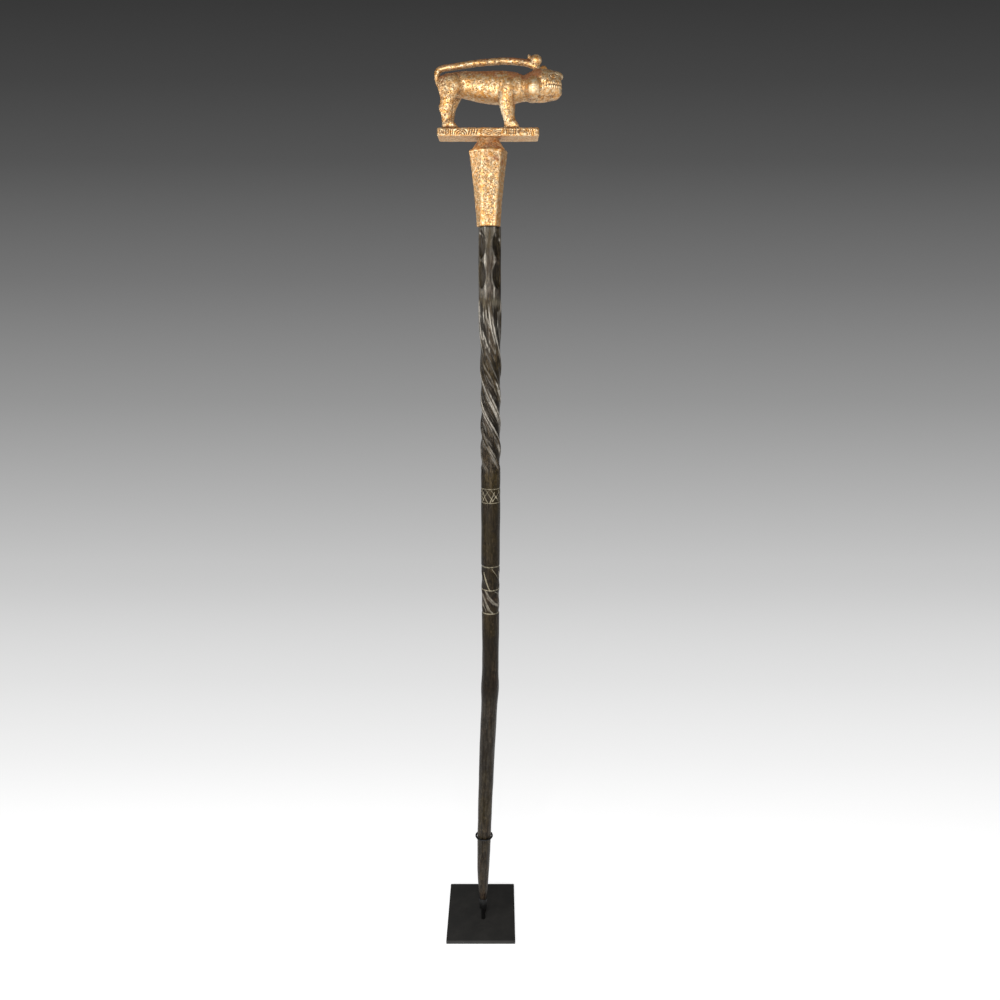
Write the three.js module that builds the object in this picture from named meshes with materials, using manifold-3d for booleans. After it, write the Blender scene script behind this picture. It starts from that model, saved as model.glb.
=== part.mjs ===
// A carved and gilded linguist's staff standing on its black metal display stand.
// Millimetres, +Z up. The origin is the middle of the base plate's underside.
// The animal on top looks along +X, and the stand's rod is behind the staff, on the +Y side.
import * as THREE from 'three';
import { mergeVertices } from 'three/addons/utils/BufferGeometryUtils.js';
import Module from 'manifold-3d';

const wasm = await Module();
wasm.setup();

// Clearance left between pieces that touch
const gap = 0.3;

// Display stand
const plate = { width: 140, depth: 168, thickness: 8, chamfer: 1 };
const rod = { diameter: 6, rise: 2, sides: 16 };
const ring = { height: 199, wire: 3.6, clearance: 0.4, steps: 24, sides: 6 };
const cup = { stem: 8, stemHeight: 27, floor: 3, bore: 21, wall: 1, clearance: 0.3, sides: 16 };

// Shaft: its length, and the diameters and leans that give it its taper and crook
const shaft = {
  length: 1351,
  topDiameter: 39.2,
  middleDiameter: 34.8,
  kneeSwell: 1.5,
  lowerDiameter: 31.2,
  calfDiameter: 28,
  footDiameter: 11.4,
  footX: 3.9,
  lowerLean: 0.0345,
  upperLean: 0.0035,
  bow: 1.8,
  bendLength: 25,
  sides: 20,
};

// Carving of the shaft, with heights as shares of its length
const scoops = { columns: 4, heights: [0.979, 0.942], halfAngle: 0.68, halfHeight: 22, depth: 4.4 };
const twist = {
  bottom: 0.69,
  top: 0.908,
  flutes: 4,
  depth: 2.3,
  swell: 0.9,
  pitch: 185,
  easing: 70,
  fade: 9,
};
const lattice = { bottom: 0.642, top: 0.664, rows: 6, depth: 0.9 };
const strokes = { bottom: 0.4855, middle: 0.52, top: 0.554, flutes: 4, depth: 0.8, pitch: 140, fade: 2 };
const fluteEdges = { ridge: 0.15, hollow: 0.95 };
const ringCut = { width: 3.2, depth: 1.1 };
const kneeHeight = 0.368;
const kneeLength = 24;
const ankleHeight = 0.067;
const crookHeight = 0.385;
const bow = { bottom: 0.315, top: 0.875, fade: 90 };

// Faceted neck, collar and board of the finial
const neck = { height: 122, footWidth: 41.8, rimWidth: 67, flare: 1.38, rimBevel: 2, steps: 7 };
const collar = { height: 17.4, footWidth: 57, topWidth: 35, sides: 16 };
const board = { length: 166.5, depth: 57, thickness: 13.1, cornerCut: 2.5 };
const finialShift = -2;

// Animal: it stands along the whole board, so its length and where it starts are multiples of the
// board's length. Shares below are of its length, from the bend of the tail to the brow,
// of its height, from the board to the tail's highest point, and of its width
const animal = {
  lengthToBoard: 1.271,
  startToBoard: -0.532,
  height: 110,
  width: 50,
  pawMargin: 4,
  sink: 1.5,
};
const animalLength = animal.lengthToBoard * board.length;
const animalStart = animal.startToBoard * board.length;
const roundness = { body: 2.25, legs: 2.5, paws: 2.6 };
const facets = { body: 18, limbs: 10, tail: 8 };
const tail = { diameter: 10.8, rootShare: 0.95, tipShare: 1.07, steps: 20 };
const muzzle = { corner: 0.86, front: 0.988, width: 1.07, power: 2.4, chin: 0.543, lip: 0.641, steps: 11 };
const teeth = { count: 13, reach: 0.9, bandEdge: 0.012, bandInset: 0.96 };

// V-shaped cuts of the pattern on the board's long edges, and between the teeth
const incision = { width: 2.2, depth: 1.1, border: 2.2, proud: 1 };

const TURN = 2 * Math.PI;
const plateTop = plate.thickness;
const footHeight = plateTop + gap + cup.stemHeight + cup.floor + gap;
const boreRadius = () => shaftRadius(cup.bore) + cup.clearance;
const cupRadius = () => boreRadius() + cup.wall;
const ringInside = () => shaftRadius(plateTop + ring.height - footHeight) + ring.clearance;
const staffY = () => -(ringInside() + ring.wire + gap + rod.diameter / 2);

// A smooth curve through named points, each with its place and its value
function smoothCurve(points) {
  const last = points.length - 1;
  const slope = (i) => {
    const a = points[Math.max(0, i - 1)];
    const b = points[Math.min(last, i + 1)];
    return (b[1] - a[1]) / (b[0] - a[0]);
  };
  return (at) => {
    let i = 0;
    while (i < last - 1 && at > points[i + 1][0]) i += 1;
    const span = points[i + 1][0] - points[i][0];
    const t = THREE.MathUtils.clamp((at - points[i][0]) / span, 0, 1);
    const t2 = t * t;
    const t3 = t2 * t;
    const start = (2 * t3 - 3 * t2 + 1) * points[i][1] + (t3 - 2 * t2 + t) * span * slope(i);
    const end = (3 * t2 - 2 * t3) * points[i + 1][1] + (t3 - t2) * span * slope(i + 1);
    return start + end;
  };
}

// Rises from 0 with a soft start, and then as fast as its input
function softRamp(value, softness) {
  return softness * Math.log(1 + Math.exp(value / softness));
}

// Signed volume of an indexed mesh, negative when its faces point inwards
function signedVolume(positions, triangles) {
  let sum = 0;
  for (let i = 0; i < triangles.length; i += 3) {
    const [a, b, c] = [0, 1, 2].map((k) => new THREE.Vector3().fromArray(positions, 3 * triangles[i + k]));
    sum += a.dot(b.cross(c)) / 6;
  }
  return sum;
}

// One closed skin through a row of loops that hold as many points each, with flat ends.
// Each four-sided patch is split along its shorter diagonal, which follows ridges and cuts.
function loft(loops) {
  const count = loops[0].length;
  const points = loops.flat();
  const positions = points.flatMap((p) => [p.x, p.y, p.z]);
  const triangles = [];
  for (let row = 0; row < loops.length - 1; row += 1) {
    for (let i = 0; i < count; i += 1) {
      const a = row * count + i;
      const b = row * count + ((i + 1) % count);
      const [c, d] = [a + count, b + count];
      const rising = points[a].distanceTo(points[d]) < points[b].distanceTo(points[c]);
      triangles.push(...(rising ? [a, b, d, a, d, c] : [a, b, c, b, d, c]));
    }
  }
  for (const [row, flip] of [[0, true], [loops.length - 1, false]]) {
    const middle = new THREE.Vector3();
    for (const p of loops[row]) middle.addScaledVector(p, 1 / count);
    const centre = positions.length / 3;
    positions.push(middle.x, middle.y, middle.z);
    for (let i = 0; i < count; i += 1) {
      const a = row * count + i;
      const b = row * count + ((i + 1) % count);
      triangles.push(...(flip ? [b, a, centre] : [a, b, centre]));
    }
  }
  if (signedVolume(positions, triangles) < 0) triangles.reverse();
  const geometry = new THREE.BufferGeometry();
  geometry.setAttribute('position', new THREE.Float32BufferAttribute(positions, 3));
  geometry.setIndex(triangles);
  return geometry;
}

// A geometry as a solid that can be joined and cut, and back again
function toSolid(geometry) {
  const plain = geometry.clone();
  plain.deleteAttribute('normal');
  plain.deleteAttribute('uv');
  const merged = mergeVertices(plain, 1e-4);
  const vertProperties = new Float32Array(merged.attributes.position.array);
  const triVerts = new Uint32Array(merged.index.array);
  return new wasm.Manifold(new wasm.Mesh({ numProp: 3, vertProperties, triVerts }));
}

function toGeometry(solid) {
  const mesh = solid.getMesh();
  const geometry = new THREE.BufferGeometry();
  geometry.setAttribute('position', new THREE.Float32BufferAttribute(mesh.vertProperties, 3));
  geometry.setIndex([...mesh.triVerts]);
  return geometry;
}

function joined(geometries) {
  return geometries.map(toSolid).reduce((whole, piece) => whole.add(piece));
}

// A rounded-rectangle loop round a centre, between an ellipse (2) and a box (large power)
function roundedLoop(centre, along, across, power, sides) {
  const loop = [];
  for (let i = 0; i < sides; i += 1) {
    const angle = (TURN * (i + 0.5)) / sides;
    const c = Math.cos(angle);
    const s = Math.sin(angle);
    const reach = (Math.abs(c) ** power + Math.abs(s) ** power) ** (-1 / power);
    loop.push(centre.clone().addScaledVector(along, c * reach).addScaledVector(across, s * reach));
  }
  return loop;
}

// Shaft radius before carving, at a height above the shaft's foot
function shaftRadius(height) {
  const share = height / shaft.length;
  const radius = smoothCurve([
    [0, shaft.footDiameter / 2],
    [0.015, shaft.footDiameter * 0.6],
    [0.03, shaft.calfDiameter * 0.34],
    [0.066, shaft.calfDiameter * 0.435],
    [0.11, shaft.calfDiameter * 0.49],
    [0.17, shaft.calfDiameter * 0.51],
    [0.28, shaft.lowerDiameter * 0.5],
    [0.43, shaft.lowerDiameter * 0.52],
    [0.57, shaft.middleDiameter * 0.506],
    [0.69, shaft.middleDiameter * 0.51],
    [0.8, shaft.middleDiameter * 0.51],
    [0.865, shaft.topDiameter * 0.485],
    [0.91, shaft.topDiameter * 0.494],
    [1, shaft.topDiameter * 0.5],
  ])(share);
  const knee = (height - kneeHeight * shaft.length) / kneeLength;
  const swell = twist.swell * zone(height, twist.bottom, twist.top, twist.fade);
  return radius + swell + shaft.kneeSwell * Math.exp(-knee * knee);
}

// Middle of the shaft at a height above its foot: upright, then leaning, then nearly upright again,
// and bowed a little forwards between its knee and the top of the twist
function shaftMiddle(height) {
  const ankle = softRamp(height - ankleHeight * shaft.length, shaft.bendLength);
  const crook = softRamp(height - crookHeight * shaft.length, shaft.bendLength);
  const x = shaft.footX + shaft.lowerLean * ankle - (shaft.lowerLean - shaft.upperLean) * crook;
  const aside = shaft.bow * zone(height, bow.bottom, bow.top, bow.fade);
  return new THREE.Vector3(x + aside, staffY(), footHeight + height);
}

// How far the carved flutes have turned round the shaft at a height above its foot
function fluteTurn(height) {
  const topShare = twist.top * shaft.length;
  const down = THREE.MathUtils.clamp(topShare - height, 0, topShare - twist.bottom * shaft.length);
  const soft = twist.easing / 2;
  const main = (TURN / twist.pitch) * (softRamp(down - twist.easing, soft) - softRamp(-twist.easing, soft));
  const low = strokes.bottom * shaft.length;
  const high = strokes.top * shaft.length;
  return main + (TURN / strokes.pitch) * THREE.MathUtils.clamp(high - height, 0, high - low);
}

// Depth of a broad hollow flute between narrow ridges, from 0 on the ridge to 1 in the flute
function fluteShape(angle, flutes) {
  const wave = Math.abs(Math.sin((flutes * angle) / 2));
  return THREE.MathUtils.smoothstep(wave, fluteEdges.ridge, fluteEdges.hollow);
}

// Fades a zone of carving in and out over a short length at both of its ends
function zone(height, bottom, top, fade) {
  const low = THREE.MathUtils.smoothstep(height, bottom * shaft.length - fade, bottom * shaft.length + fade);
  const high = THREE.MathUtils.smoothstep(height, top * shaft.length - fade, top * shaft.length + fade);
  return low * (1 - high);
}

// Depth cut into the shaft at a height, an angle in space and an angle along the flutes
function carvingDepth(height, angle, fluteAngle) {
  let depth = 0;
  for (let column = 0; column < scoops.columns; column += 1) {
    const middle = (TURN * (column + 0.5)) / scoops.columns;
    const away = Math.atan2(Math.sin(angle - middle), Math.cos(angle - middle)) / scoops.halfAngle;
    for (const share of scoops.heights) {
      const up = (height - share * shaft.length) / scoops.halfHeight;
      depth += scoops.depth * Math.max(0, 1 - away * away - up * up);
    }
  }
  const twisted = zone(height, twist.bottom, twist.top, twist.fade);
  const stroked = zone(height, strokes.bottom, strokes.top, strokes.fade);
  depth += twist.depth * twisted * fluteShape(fluteAngle, twist.flutes);
  return depth + strokes.depth * stroked * fluteShape(fluteAngle, strokes.flutes);
}

// Heights of the loops of points up the shaft: close where it is carved, and far apart elsewhere
function shaftHeights() {
  const shares = [0, 0.008, 0.015, 0.022, 0.03, 0.045, 0.066, 0.09, 0.12, 0.17, 0.22, 0.28, 0.325, 0.345];
  shares.push(0.357, 0.368, 0.379, 0.392, 0.42, 0.455, 0.58, 0.61);
  const spread = (from, to, steps) => {
    for (let i = 0; i <= steps; i += 1) shares.push(from + ((to - from) * i) / steps);
  };
  const fade = twist.fade / shaft.length;
  const rim = (2 * strokes.fade) / shaft.length;
  spread(twist.bottom - fade, twist.top + fade, 25);
  spread(twist.top + 2 * fade, 1, 13);
  spread(strokes.bottom + rim, strokes.middle - rim, 5);
  spread(strokes.middle + rim, strokes.top - rim, 5);
  spread(lattice.bottom, lattice.top, lattice.rows);
  const heights = shares.map((share) => share * shaft.length);
  for (const share of [strokes.bottom, strokes.middle, strokes.top]) {
    for (const step of [-0.5, 0, 0.5]) heights.push(share * shaft.length + step * ringCut.width);
  }
  return heights.sort((a, b) => a - b).filter((h, i, all) => i === 0 || h - all[i - 1] > 0.5);
}

// Depth of the cut rings, which each have their own loop of points
function ringDepth(height) {
  const rings = [strokes.bottom, strokes.middle, strokes.top];
  const near = Math.min(...rings.map((share) => Math.abs(height - share * shaft.length)));
  return ringCut.depth * Math.max(0, 1 - near / (0.5 * ringCut.width));
}

// The lozenges of the lattice band: every second point of each loop is cut in
function latticeDepth(height, point) {
  const step = ((lattice.top - lattice.bottom) * shaft.length) / lattice.rows;
  const row = Math.round((height - lattice.bottom * shaft.length) / step);
  const off = Math.abs(height - lattice.bottom * shaft.length - row * step);
  if (row < 0 || row > lattice.rows || off > 0.01) return 0;
  const edge = row === 0 || row === lattice.rows;
  return edge || (row + point) % 2 === 0 ? lattice.depth : 0;
}

function shaftGeometry() {
  const loops = shaftHeights().map((height) => {
    const middle = shaftMiddle(height);
    const turn = fluteTurn(height);
    const loop = [];
    for (let i = 0; i < shaft.sides; i += 1) {
      const fluteAngle = (TURN * i) / shaft.sides;
      const angle = fluteAngle + turn;
      const cut = carvingDepth(height, angle, fluteAngle) + ringDepth(height) + latticeDepth(height, i);
      const radius = shaftRadius(height) - cut;
      loop.push(new THREE.Vector3(Math.sin(angle), -Math.cos(angle), 0).multiplyScalar(radius).add(middle));
    }
    return loop;
  });
  return loft(loops);
}

// Places on the finial: its axis, and the levels of its parts from the shaft upwards
const finialFoot = shaftMiddle(shaft.length).add(new THREE.Vector3(finialShift, 0, gap));
const rimLevel = finialFoot.z + neck.height;
const boardLevel = rimLevel + collar.height;
const boardTop = boardLevel + board.thickness;
const finialPoint = (x, y, z) => new THREE.Vector3(finialFoot.x + x, finialFoot.y + y, z);

// The six corners of the hand-cut neck aren't evenly spaced, and they turn a little from foot to rim
const neckCorners = [
  { foot: -38, rim: -19 },
  { foot: 39, rim: 41 },
  { foot: 93, rim: 101 },
  { foot: 142, rim: 161 },
  { foot: 219, rim: 221 },
  { foot: 270, rim: 281 },
];

function neckLoop(share, width, level) {
  return neckCorners.map((corner) => {
    const angle = THREE.MathUtils.degToRad(THREE.MathUtils.lerp(corner.foot, corner.rim, share));
    return finialPoint((Math.sin(angle) * width) / 2, (-Math.cos(angle) * width) / 2, level);
  });
}

function neckGeometry() {
  const loops = [];
  const height = neck.height - neck.rimBevel;
  for (let i = 0; i <= neck.steps; i += 1) {
    const share = i / neck.steps;
    const width = neck.footWidth + (neck.rimWidth - neck.footWidth) * share ** neck.flare;
    loops.push(neckLoop(share, width, finialFoot.z + share * height));
  }
  loops.push(neckLoop(1, neck.rimWidth - 2 * neck.rimBevel, rimLevel));
  return loft(loops);
}

// The collar narrows upwards from the neck's rim, and its two ends reach into the neck and the board
function collarGeometry() {
  const levels = [[-0.2, 0], [0, 0], [0.35, 0.42], [0.75, 0.86], [1, 1], [1.2, 1]];
  const loops = levels.map(([rise, narrowing]) => {
    const width = THREE.MathUtils.lerp(collar.footWidth, collar.topWidth, narrowing);
    const centre = finialPoint(0, 0, rimLevel + rise * collar.height);
    const along = new THREE.Vector3(width / 2, 0, 0);
    return roundedLoop(centre, along, new THREE.Vector3(0, width / 2, 0), 2, collar.sides);
  });
  return loft(loops);
}

function boardLoop(level) {
  const cut = board.cornerCut;
  const long = board.length / 2;
  const deep = board.depth / 2;
  const loop = [];
  for (const [x, y] of [[1, 1], [-1, 1], [-1, -1], [1, -1]]) {
    const end = finialPoint(x * long, y * (deep - cut), level);
    const side = finialPoint(x * (long - cut), y * deep, level);
    loop.push(...(x === y ? [end, side] : [side, end]));
  }
  return loop;
}

// A V-shaped cut along a row of places on a surface, each with the direction that points out of it
function cutGeometry(course) {
  const last = course.length - 1;
  const loops = course.map(({ place, outward }, i) => {
    const along = course[Math.min(i + 1, last)].place.clone().sub(course[Math.max(i - 1, 0)].place);
    const scale = (incision.depth + incision.proud) / incision.depth;
    const aside = along.cross(outward).setLength((scale * incision.width) / 2);
    const outer = place.clone().addScaledVector(outward, incision.proud);
    const deep = place.clone().addScaledVector(outward, -incision.depth);
    return [outer.clone().add(aside), outer.clone().sub(aside), deep];
  });
  return loft(loops);
}

// A line on the board's front (side -1) or back (side 1) edge, from shares of its length and thickness
function boardCut(points, side) {
  const outward = new THREE.Vector3(0, side, 0);
  return cutGeometry(points.map(([along, up]) => {
    const level = boardLevel + up * board.thickness;
    return { place: finialPoint(along * board.length, (side * board.depth) / 2, level), outward };
  }));
}

// A row of strokes side by side, each with its lean
function strokeRow(start, step, count, lean) {
  const low = incision.border / board.thickness;
  const row = [];
  for (let i = 0; i < count; i += 1) {
    const middle = start + step * i;
    row.push([[middle - lean, low], [middle + lean, 1 - low]]);
  }
  return row;
}

function archCut(middle, size, height) {
  const low = incision.border / board.thickness;
  const steps = 6;
  const arch = [];
  for (let i = 0; i <= steps; i += 1) {
    const angle = (Math.PI * i) / steps;
    arch.push([middle - size * Math.cos(angle), low + height * Math.sin(angle)]);
  }
  return arch;
}

// A wavy line along the edge, with four points to a wave
function waveCut(start, level) {
  const [waves, quarter, swing] = [2, 0.02, 0.13];
  const line = [];
  for (let i = 0; i <= 4 * waves; i += 1) {
    line.push([start + quarter * i, level + swing * Math.sin((TURN * i) / 4)]);
  }
  return line;
}

// The front edge has strokes, nested arches, long waves and more strokes, and the back only strokes
function boardCuts() {
  const tall = 1 - (2 * incision.border) / board.thickness;
  const front = [
    ...strokeRow(-0.41, 0.022, 4, 0),
    archCut(-0.27, 0.055, tall),
    archCut(-0.27, 0.028, tall / 2),
    ...strokeRow(-0.18, 0.026, 4, 0.008),
    waveCut(-0.05, 0.3),
    waveCut(-0.05, 0.66),
    ...strokeRow(0.19, 0.022, 4, 0),
    ...strokeRow(0.38, 0.025, 3, -0.008),
  ];
  const back = [...strokeRow(-0.4, 0.03, 4, 0), ...strokeRow(0.3, 0.03, 4, 0)];
  return [...front.map((points) => boardCut(points, -1)), ...back.map((points) => boardCut(points, 1))];
}

// A place on the animal from shares of its length, width and height
function animalPoint(along, across, up) {
  return finialPoint(
    animalStart + along * animalLength,
    across * animal.width,
    boardTop + up * animal.height,
  );
}

// Back and belly lines and width of the body and head, from the rump to the face
const bodyStations = [
  { at: 0.028, back: 0.7, belly: 0.58, width: 0.3 },
  { at: 0.045, back: 0.735, belly: 0.5, width: 0.58 },
  { at: 0.088, back: 0.768, belly: 0.455, width: 0.78 },
  { at: 0.15, back: 0.79, belly: 0.45, width: 0.88 },
  { at: 0.206, back: 0.802, belly: 0.45, width: 0.91 },
  { at: 0.282, back: 0.807, belly: 0.42, width: 0.93 },
  { at: 0.357, back: 0.809, belly: 0.388, width: 0.96 },
  { at: 0.433, back: 0.813, belly: 0.368, width: 0.98 },
  { at: 0.513, back: 0.815, belly: 0.354, width: 1 },
  { at: 0.589, back: 0.805, belly: 0.36, width: 0.98 },
  { at: 0.627, back: 0.795, belly: 0.37, width: 0.94 },
  { at: 0.664, back: 0.775, belly: 0.39, width: 0.88 },
  { at: 0.692, back: 0.757, belly: 0.4, width: 0.84 },
  { at: 0.74, back: 0.8, belly: 0.404, width: 0.92 },
  { at: 0.783, back: 0.836, belly: 0.395, width: 1.02 },
  { at: 0.82, back: 0.839, belly: 0.392, width: 1.06 },
  { at: 0.858, back: 0.835, belly: 0.394, width: 1.06 },
  { at: 0.891, back: 0.829, belly: 0.405, width: 1.02 },
  { at: 0.924, back: 0.812, belly: 0.42, width: 0.94 },
  { at: 0.948, back: 0.795, belly: 0.428, width: 0.86 },
  { at: 0.968, back: 0.775, belly: 0.45, width: 0.74 },
  { at: 0.98, back: 0.74, belly: 0.49, width: 0.56 },
];

function bodyGeometry() {
  const loops = bodyStations.map(({ at, back, belly, width }) => {
    const centre = animalPoint(at, 0, (back + belly) / 2);
    const across = new THREE.Vector3(0, (width * animal.width) / 2, 0);
    const up = new THREE.Vector3(0, 0, ((back - belly) * animal.height) / 2);
    return roundedLoop(centre, across, up, roundness.body, facets.body);
  });
  return loft(loops);
}

// Legs from the board upwards: the middle and the width along the body, and the width across it
const hindLeg = [
  { up: 0, at: 0.098, long: 0.076, wide: 0.28 },
  { up: 0.12, at: 0.095, long: 0.068, wide: 0.27 },
  { up: 0.19, at: 0.093, long: 0.076, wide: 0.28 },
  { up: 0.28, at: 0.09, long: 0.098, wide: 0.3 },
  { up: 0.36, at: 0.101, long: 0.105, wide: 0.32 },
  { up: 0.43, at: 0.112, long: 0.122, wide: 0.35 },
  { up: 0.53, at: 0.12, long: 0.166, wide: 0.4 },
  { up: 0.62, at: 0.125, long: 0.184, wide: 0.4 },
  { up: 0.7, at: 0.128, long: 0.14, wide: 0.3 },
  { up: 0.75, at: 0.13, long: 0.06, wide: 0.12 },
];
const frontLeg = [
  { up: 0, at: 0.582, long: 0.08, wide: 0.28 },
  { up: 0.12, at: 0.576, long: 0.08, wide: 0.27 },
  { up: 0.23, at: 0.562, long: 0.093, wide: 0.28 },
  { up: 0.33, at: 0.555, long: 0.106, wide: 0.3 },
  { up: 0.43, at: 0.557, long: 0.11, wide: 0.34 },
  { up: 0.54, at: 0.565, long: 0.112, wide: 0.38 },
  { up: 0.63, at: 0.572, long: 0.1, wide: 0.34 },
  { up: 0.7, at: 0.576, long: 0.05, wide: 0.14 },
];

function legGeometry(stations, side, shift) {
  const footWidth = stations[0].wide * animal.width;
  const spread = (board.depth - footWidth) / 2 - animal.pawMargin;
  const loops = stations.map(({ up, at, long, wide }) => {
    const centre = animalPoint(at + shift, 0, up);
    centre.y += side * spread;
    if (up === 0) centre.z -= animal.sink;
    const along = new THREE.Vector3((long * animalLength) / 2, 0, 0);
    const across = new THREE.Vector3(0, (wide * animal.width) / 2, 0);
    return roundedLoop(centre, along, across, roundness.legs, facets.limbs);
  });
  return loft(loops);
}

// A broad paw reaches forward from the foot of each leg, highest where it meets the leg
function pawGeometry(stations, side, shift) {
  const { at, wide } = stations[0];
  const spread = (board.depth - wide * animal.width) / 2 - animal.pawMargin;
  const paw = [
    { ahead: -0.03, high: 0.06, width: 0.24 },
    { ahead: 0, high: 0.13, width: 0.3 },
    { ahead: 0.03, high: 0.13, width: 0.34 },
    { ahead: 0.056, high: 0.095, width: 0.34 },
    { ahead: 0.074, high: 0.05, width: 0.26 },
  ];
  const loops = paw.map(({ ahead, high, width }) => {
    const centre = animalPoint(at + shift + ahead, 0, high / 2);
    centre.y += side * spread;
    centre.z -= animal.sink / 2;
    const across = new THREE.Vector3(0, (width * animal.width) / 2, 0);
    const up = new THREE.Vector3(0, 0, (high * animal.height + animal.sink) / 2);
    return roundedLoop(centre, across, up, roundness.paws, facets.limbs);
  });
  return loft(loops);
}

// The long tail rises from the rump, bends forward over the back and comes down on the head
function tailGeometry() {
  const course = [
    [0.07, 0.55], [0.046, 0.62], [0.028, 0.7], [0.025, 0.785], [0.05, 0.84], [0.128, 0.866], [0.206, 0.889],
    [0.282, 0.91], [0.359, 0.927], [0.435, 0.94], [0.55, 0.952], [0.627, 0.945], [0.702, 0.93],
    [0.765, 0.895], [0.808, 0.845],
  ];
  const curve = new THREE.CatmullRomCurve3(course.map(([at, up]) => animalPoint(at, 0, up)));
  const aside = new THREE.Vector3(0, 1, 0);
  const loops = [];
  for (let i = 0; i <= tail.steps; i += 1) {
    const share = i / tail.steps;
    const radius = (tail.diameter / 2) * THREE.MathUtils.lerp(tail.rootShare, tail.tipShare, share);
    const up = curve.getTangentAt(share).cross(aside).setLength(radius);
    loops.push(roundedLoop(curve.getPointAt(share), up, aside.clone().setLength(radius), 2, facets.tail));
  }
  return loft(loops);
}

// A rounded lump on the animal: its place and its half sizes are shares of the animal's own
function lump(place, halves, turn = 0, around = 12, down = 8) {
  const centre = animalPoint(...place);
  const geometry = new THREE.SphereGeometry(1, around, down);
  geometry.scale(halves[0] * animalLength, halves[1] * animal.width, halves[2] * animal.height);
  geometry.rotateY(turn);
  geometry.translate(centre.x, centre.y, centre.z);
  return geometry;
}

// A small upright cone from stations that hold its place, its half length and its half width
function spike(stations, across, tilt) {
  return loft(stations.map(([at, up, long, wide]) => {
    const along = new THREE.Vector3(long * animalLength, 0, long * animalLength * tilt);
    const aside = new THREE.Vector3(0, wide * animal.width, 0);
    return roundedLoop(animalPoint(at, across, up), along, aside, 2, facets.tail);
  }));
}

// The curled tuft that ends the tail: a round lump on the head with a small upturned tip behind it
function tuftGeometries() {
  const curl = lump([0.787, 0, 0.965], [0.046, 0.164, 0.08], 0.25);
  const tip = [[0.765, 0.95, 0.018, 0.076], [0.742, 0.985, 0.016, 0.068], [0.732, 1.02, 0.012, 0.05]];
  tip.push([0.729, 1.05, 0.005, 0.02]);
  return [curl, spike(tip, 0, 0.4)];
}

// The near ear is small and pointed, and the far ear is larger and round
function earGeometries() {
  const near = [[0.801, 0.8, 0.018, 0.064], [0.801, 0.835, 0.0165, 0.058], [0.801, 0.868, 0.009, 0.034]];
  near.push([0.801, 0.887, 0.0025, 0.01]);
  return [spike(near, -0.2, 0), lump([0.847, 0.12, 0.845], [0.033, 0.075, 0.068], 0.1, 10, 6)];
}

// Brow and nose, heavy lower jaw, full cheeks and eyes stand out from the head
function faceGeometries() {
  const nose = lump([0.937, 0, 0.747], [0.0624, 0.34, 0.062], 0.1, 14);
  const jaw = lump([0.925, 0, 0.506], [0.066, 0.31, 0.0745], -0.12, 14);
  const sides = [-1, 1].flatMap((side) => [
    lump([0.766, 0.25 * side, 0.565], [0.058, 0.31, 0.14]),
    lump([0.919, 0.37 * side, 0.71], [0.0217, 0.048, 0.0255], 0, 8, 5),
  ]);
  return [nose, jaw, gumGeometry(), ...sides];
}

// A place on the muzzle round the mouth, from -1 at one corner to 1 at the other, and which way is out
function muzzlePlace(round, up) {
  const angle = (round * Math.PI) / 2;
  const [c, s] = [Math.cos(angle), Math.sin(angle)];
  const reach = (Math.abs(c) ** muzzle.power + Math.abs(s) ** muzzle.power) ** (-1 / muzzle.power);
  const place = animalPoint(
    muzzle.corner + c * reach * (muzzle.front - muzzle.corner),
    (s * reach * muzzle.width) / 2,
    up,
  );
  return { place, outward: new THREE.Vector3(c, s, 0) };
}

// The band that the teeth are cut in follows the muzzle and stands just proud of the head
function gumGeometry() {
  const levels = [muzzle.chin - teeth.bandEdge, muzzle.chin, muzzle.lip, muzzle.lip + teeth.bandEdge];
  const loops = levels.map((up, row) => {
    const loop = [];
    for (let i = -muzzle.steps; i <= muzzle.steps; i += 1) loop.push(muzzlePlace(i / muzzle.steps, up).place);
    const inset = row === 0 || row === levels.length - 1 ? teeth.bandInset : 1;
    const middle = animalPoint(muzzle.corner, 0, up);
    return loop.map((point) => point.sub(middle).multiplyScalar(inset).add(middle));
  });
  return loft(loops);
}

// Bared teeth: one cut round the muzzle parts the two rows, and short cuts part tooth from tooth
function teethCuts() {
  const middle = (muzzle.lip + muzzle.chin) / 2;
  const steps = 8;
  const line = [];
  for (let i = -steps; i <= steps; i += 1) line.push(muzzlePlace(i / steps, middle));
  const cuts = [line];
  for (let i = 0; i < teeth.count; i += 1) {
    const round = teeth.reach * ((2 * i) / (teeth.count - 1) - 1);
    cuts.push([muzzlePlace(round, muzzle.chin), muzzlePlace(round, muzzle.lip)]);
  }
  return cuts.map(cutGeometry);
}

function finialGeometry() {
  const plinth = loft([boardLoop(boardLevel), boardLoop(boardTop)]);
  const body = [neckGeometry(), collarGeometry(), plinth, bodyGeometry(), tailGeometry()];
  for (const [side, shift] of [[-1, 0], [1, 0.02]]) {
    for (const leg of [hindLeg, frontLeg]) {
      body.push(legGeometry(leg, side, shift), pawGeometry(leg, side, shift));
    }
  }
  const whole = joined([...body, ...tuftGeometries(), ...earGeometries(), ...faceGeometries()]);
  const cuts = [...boardCuts(), ...teethCuts()].map(toSolid);
  return toGeometry(cuts.reduce((rest, cut) => rest.subtract(cut), whole));
}

function plateGeometry() {
  const rectangle = (inset, level) => [[1, 1], [-1, 1], [-1, -1], [1, -1]].map(([x, y]) => {
    return new THREE.Vector3(x * (plate.width / 2 - inset), y * (plate.depth / 2 - inset), level);
  });
  const shoulder = plate.thickness - plate.chamfer;
  return loft([rectangle(0, 0), rectangle(0, shoulder), rectangle(plate.chamfer, plate.thickness)]);
}

const ringMiddle = shaftMiddle(plateTop + ring.height - footHeight);

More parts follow.
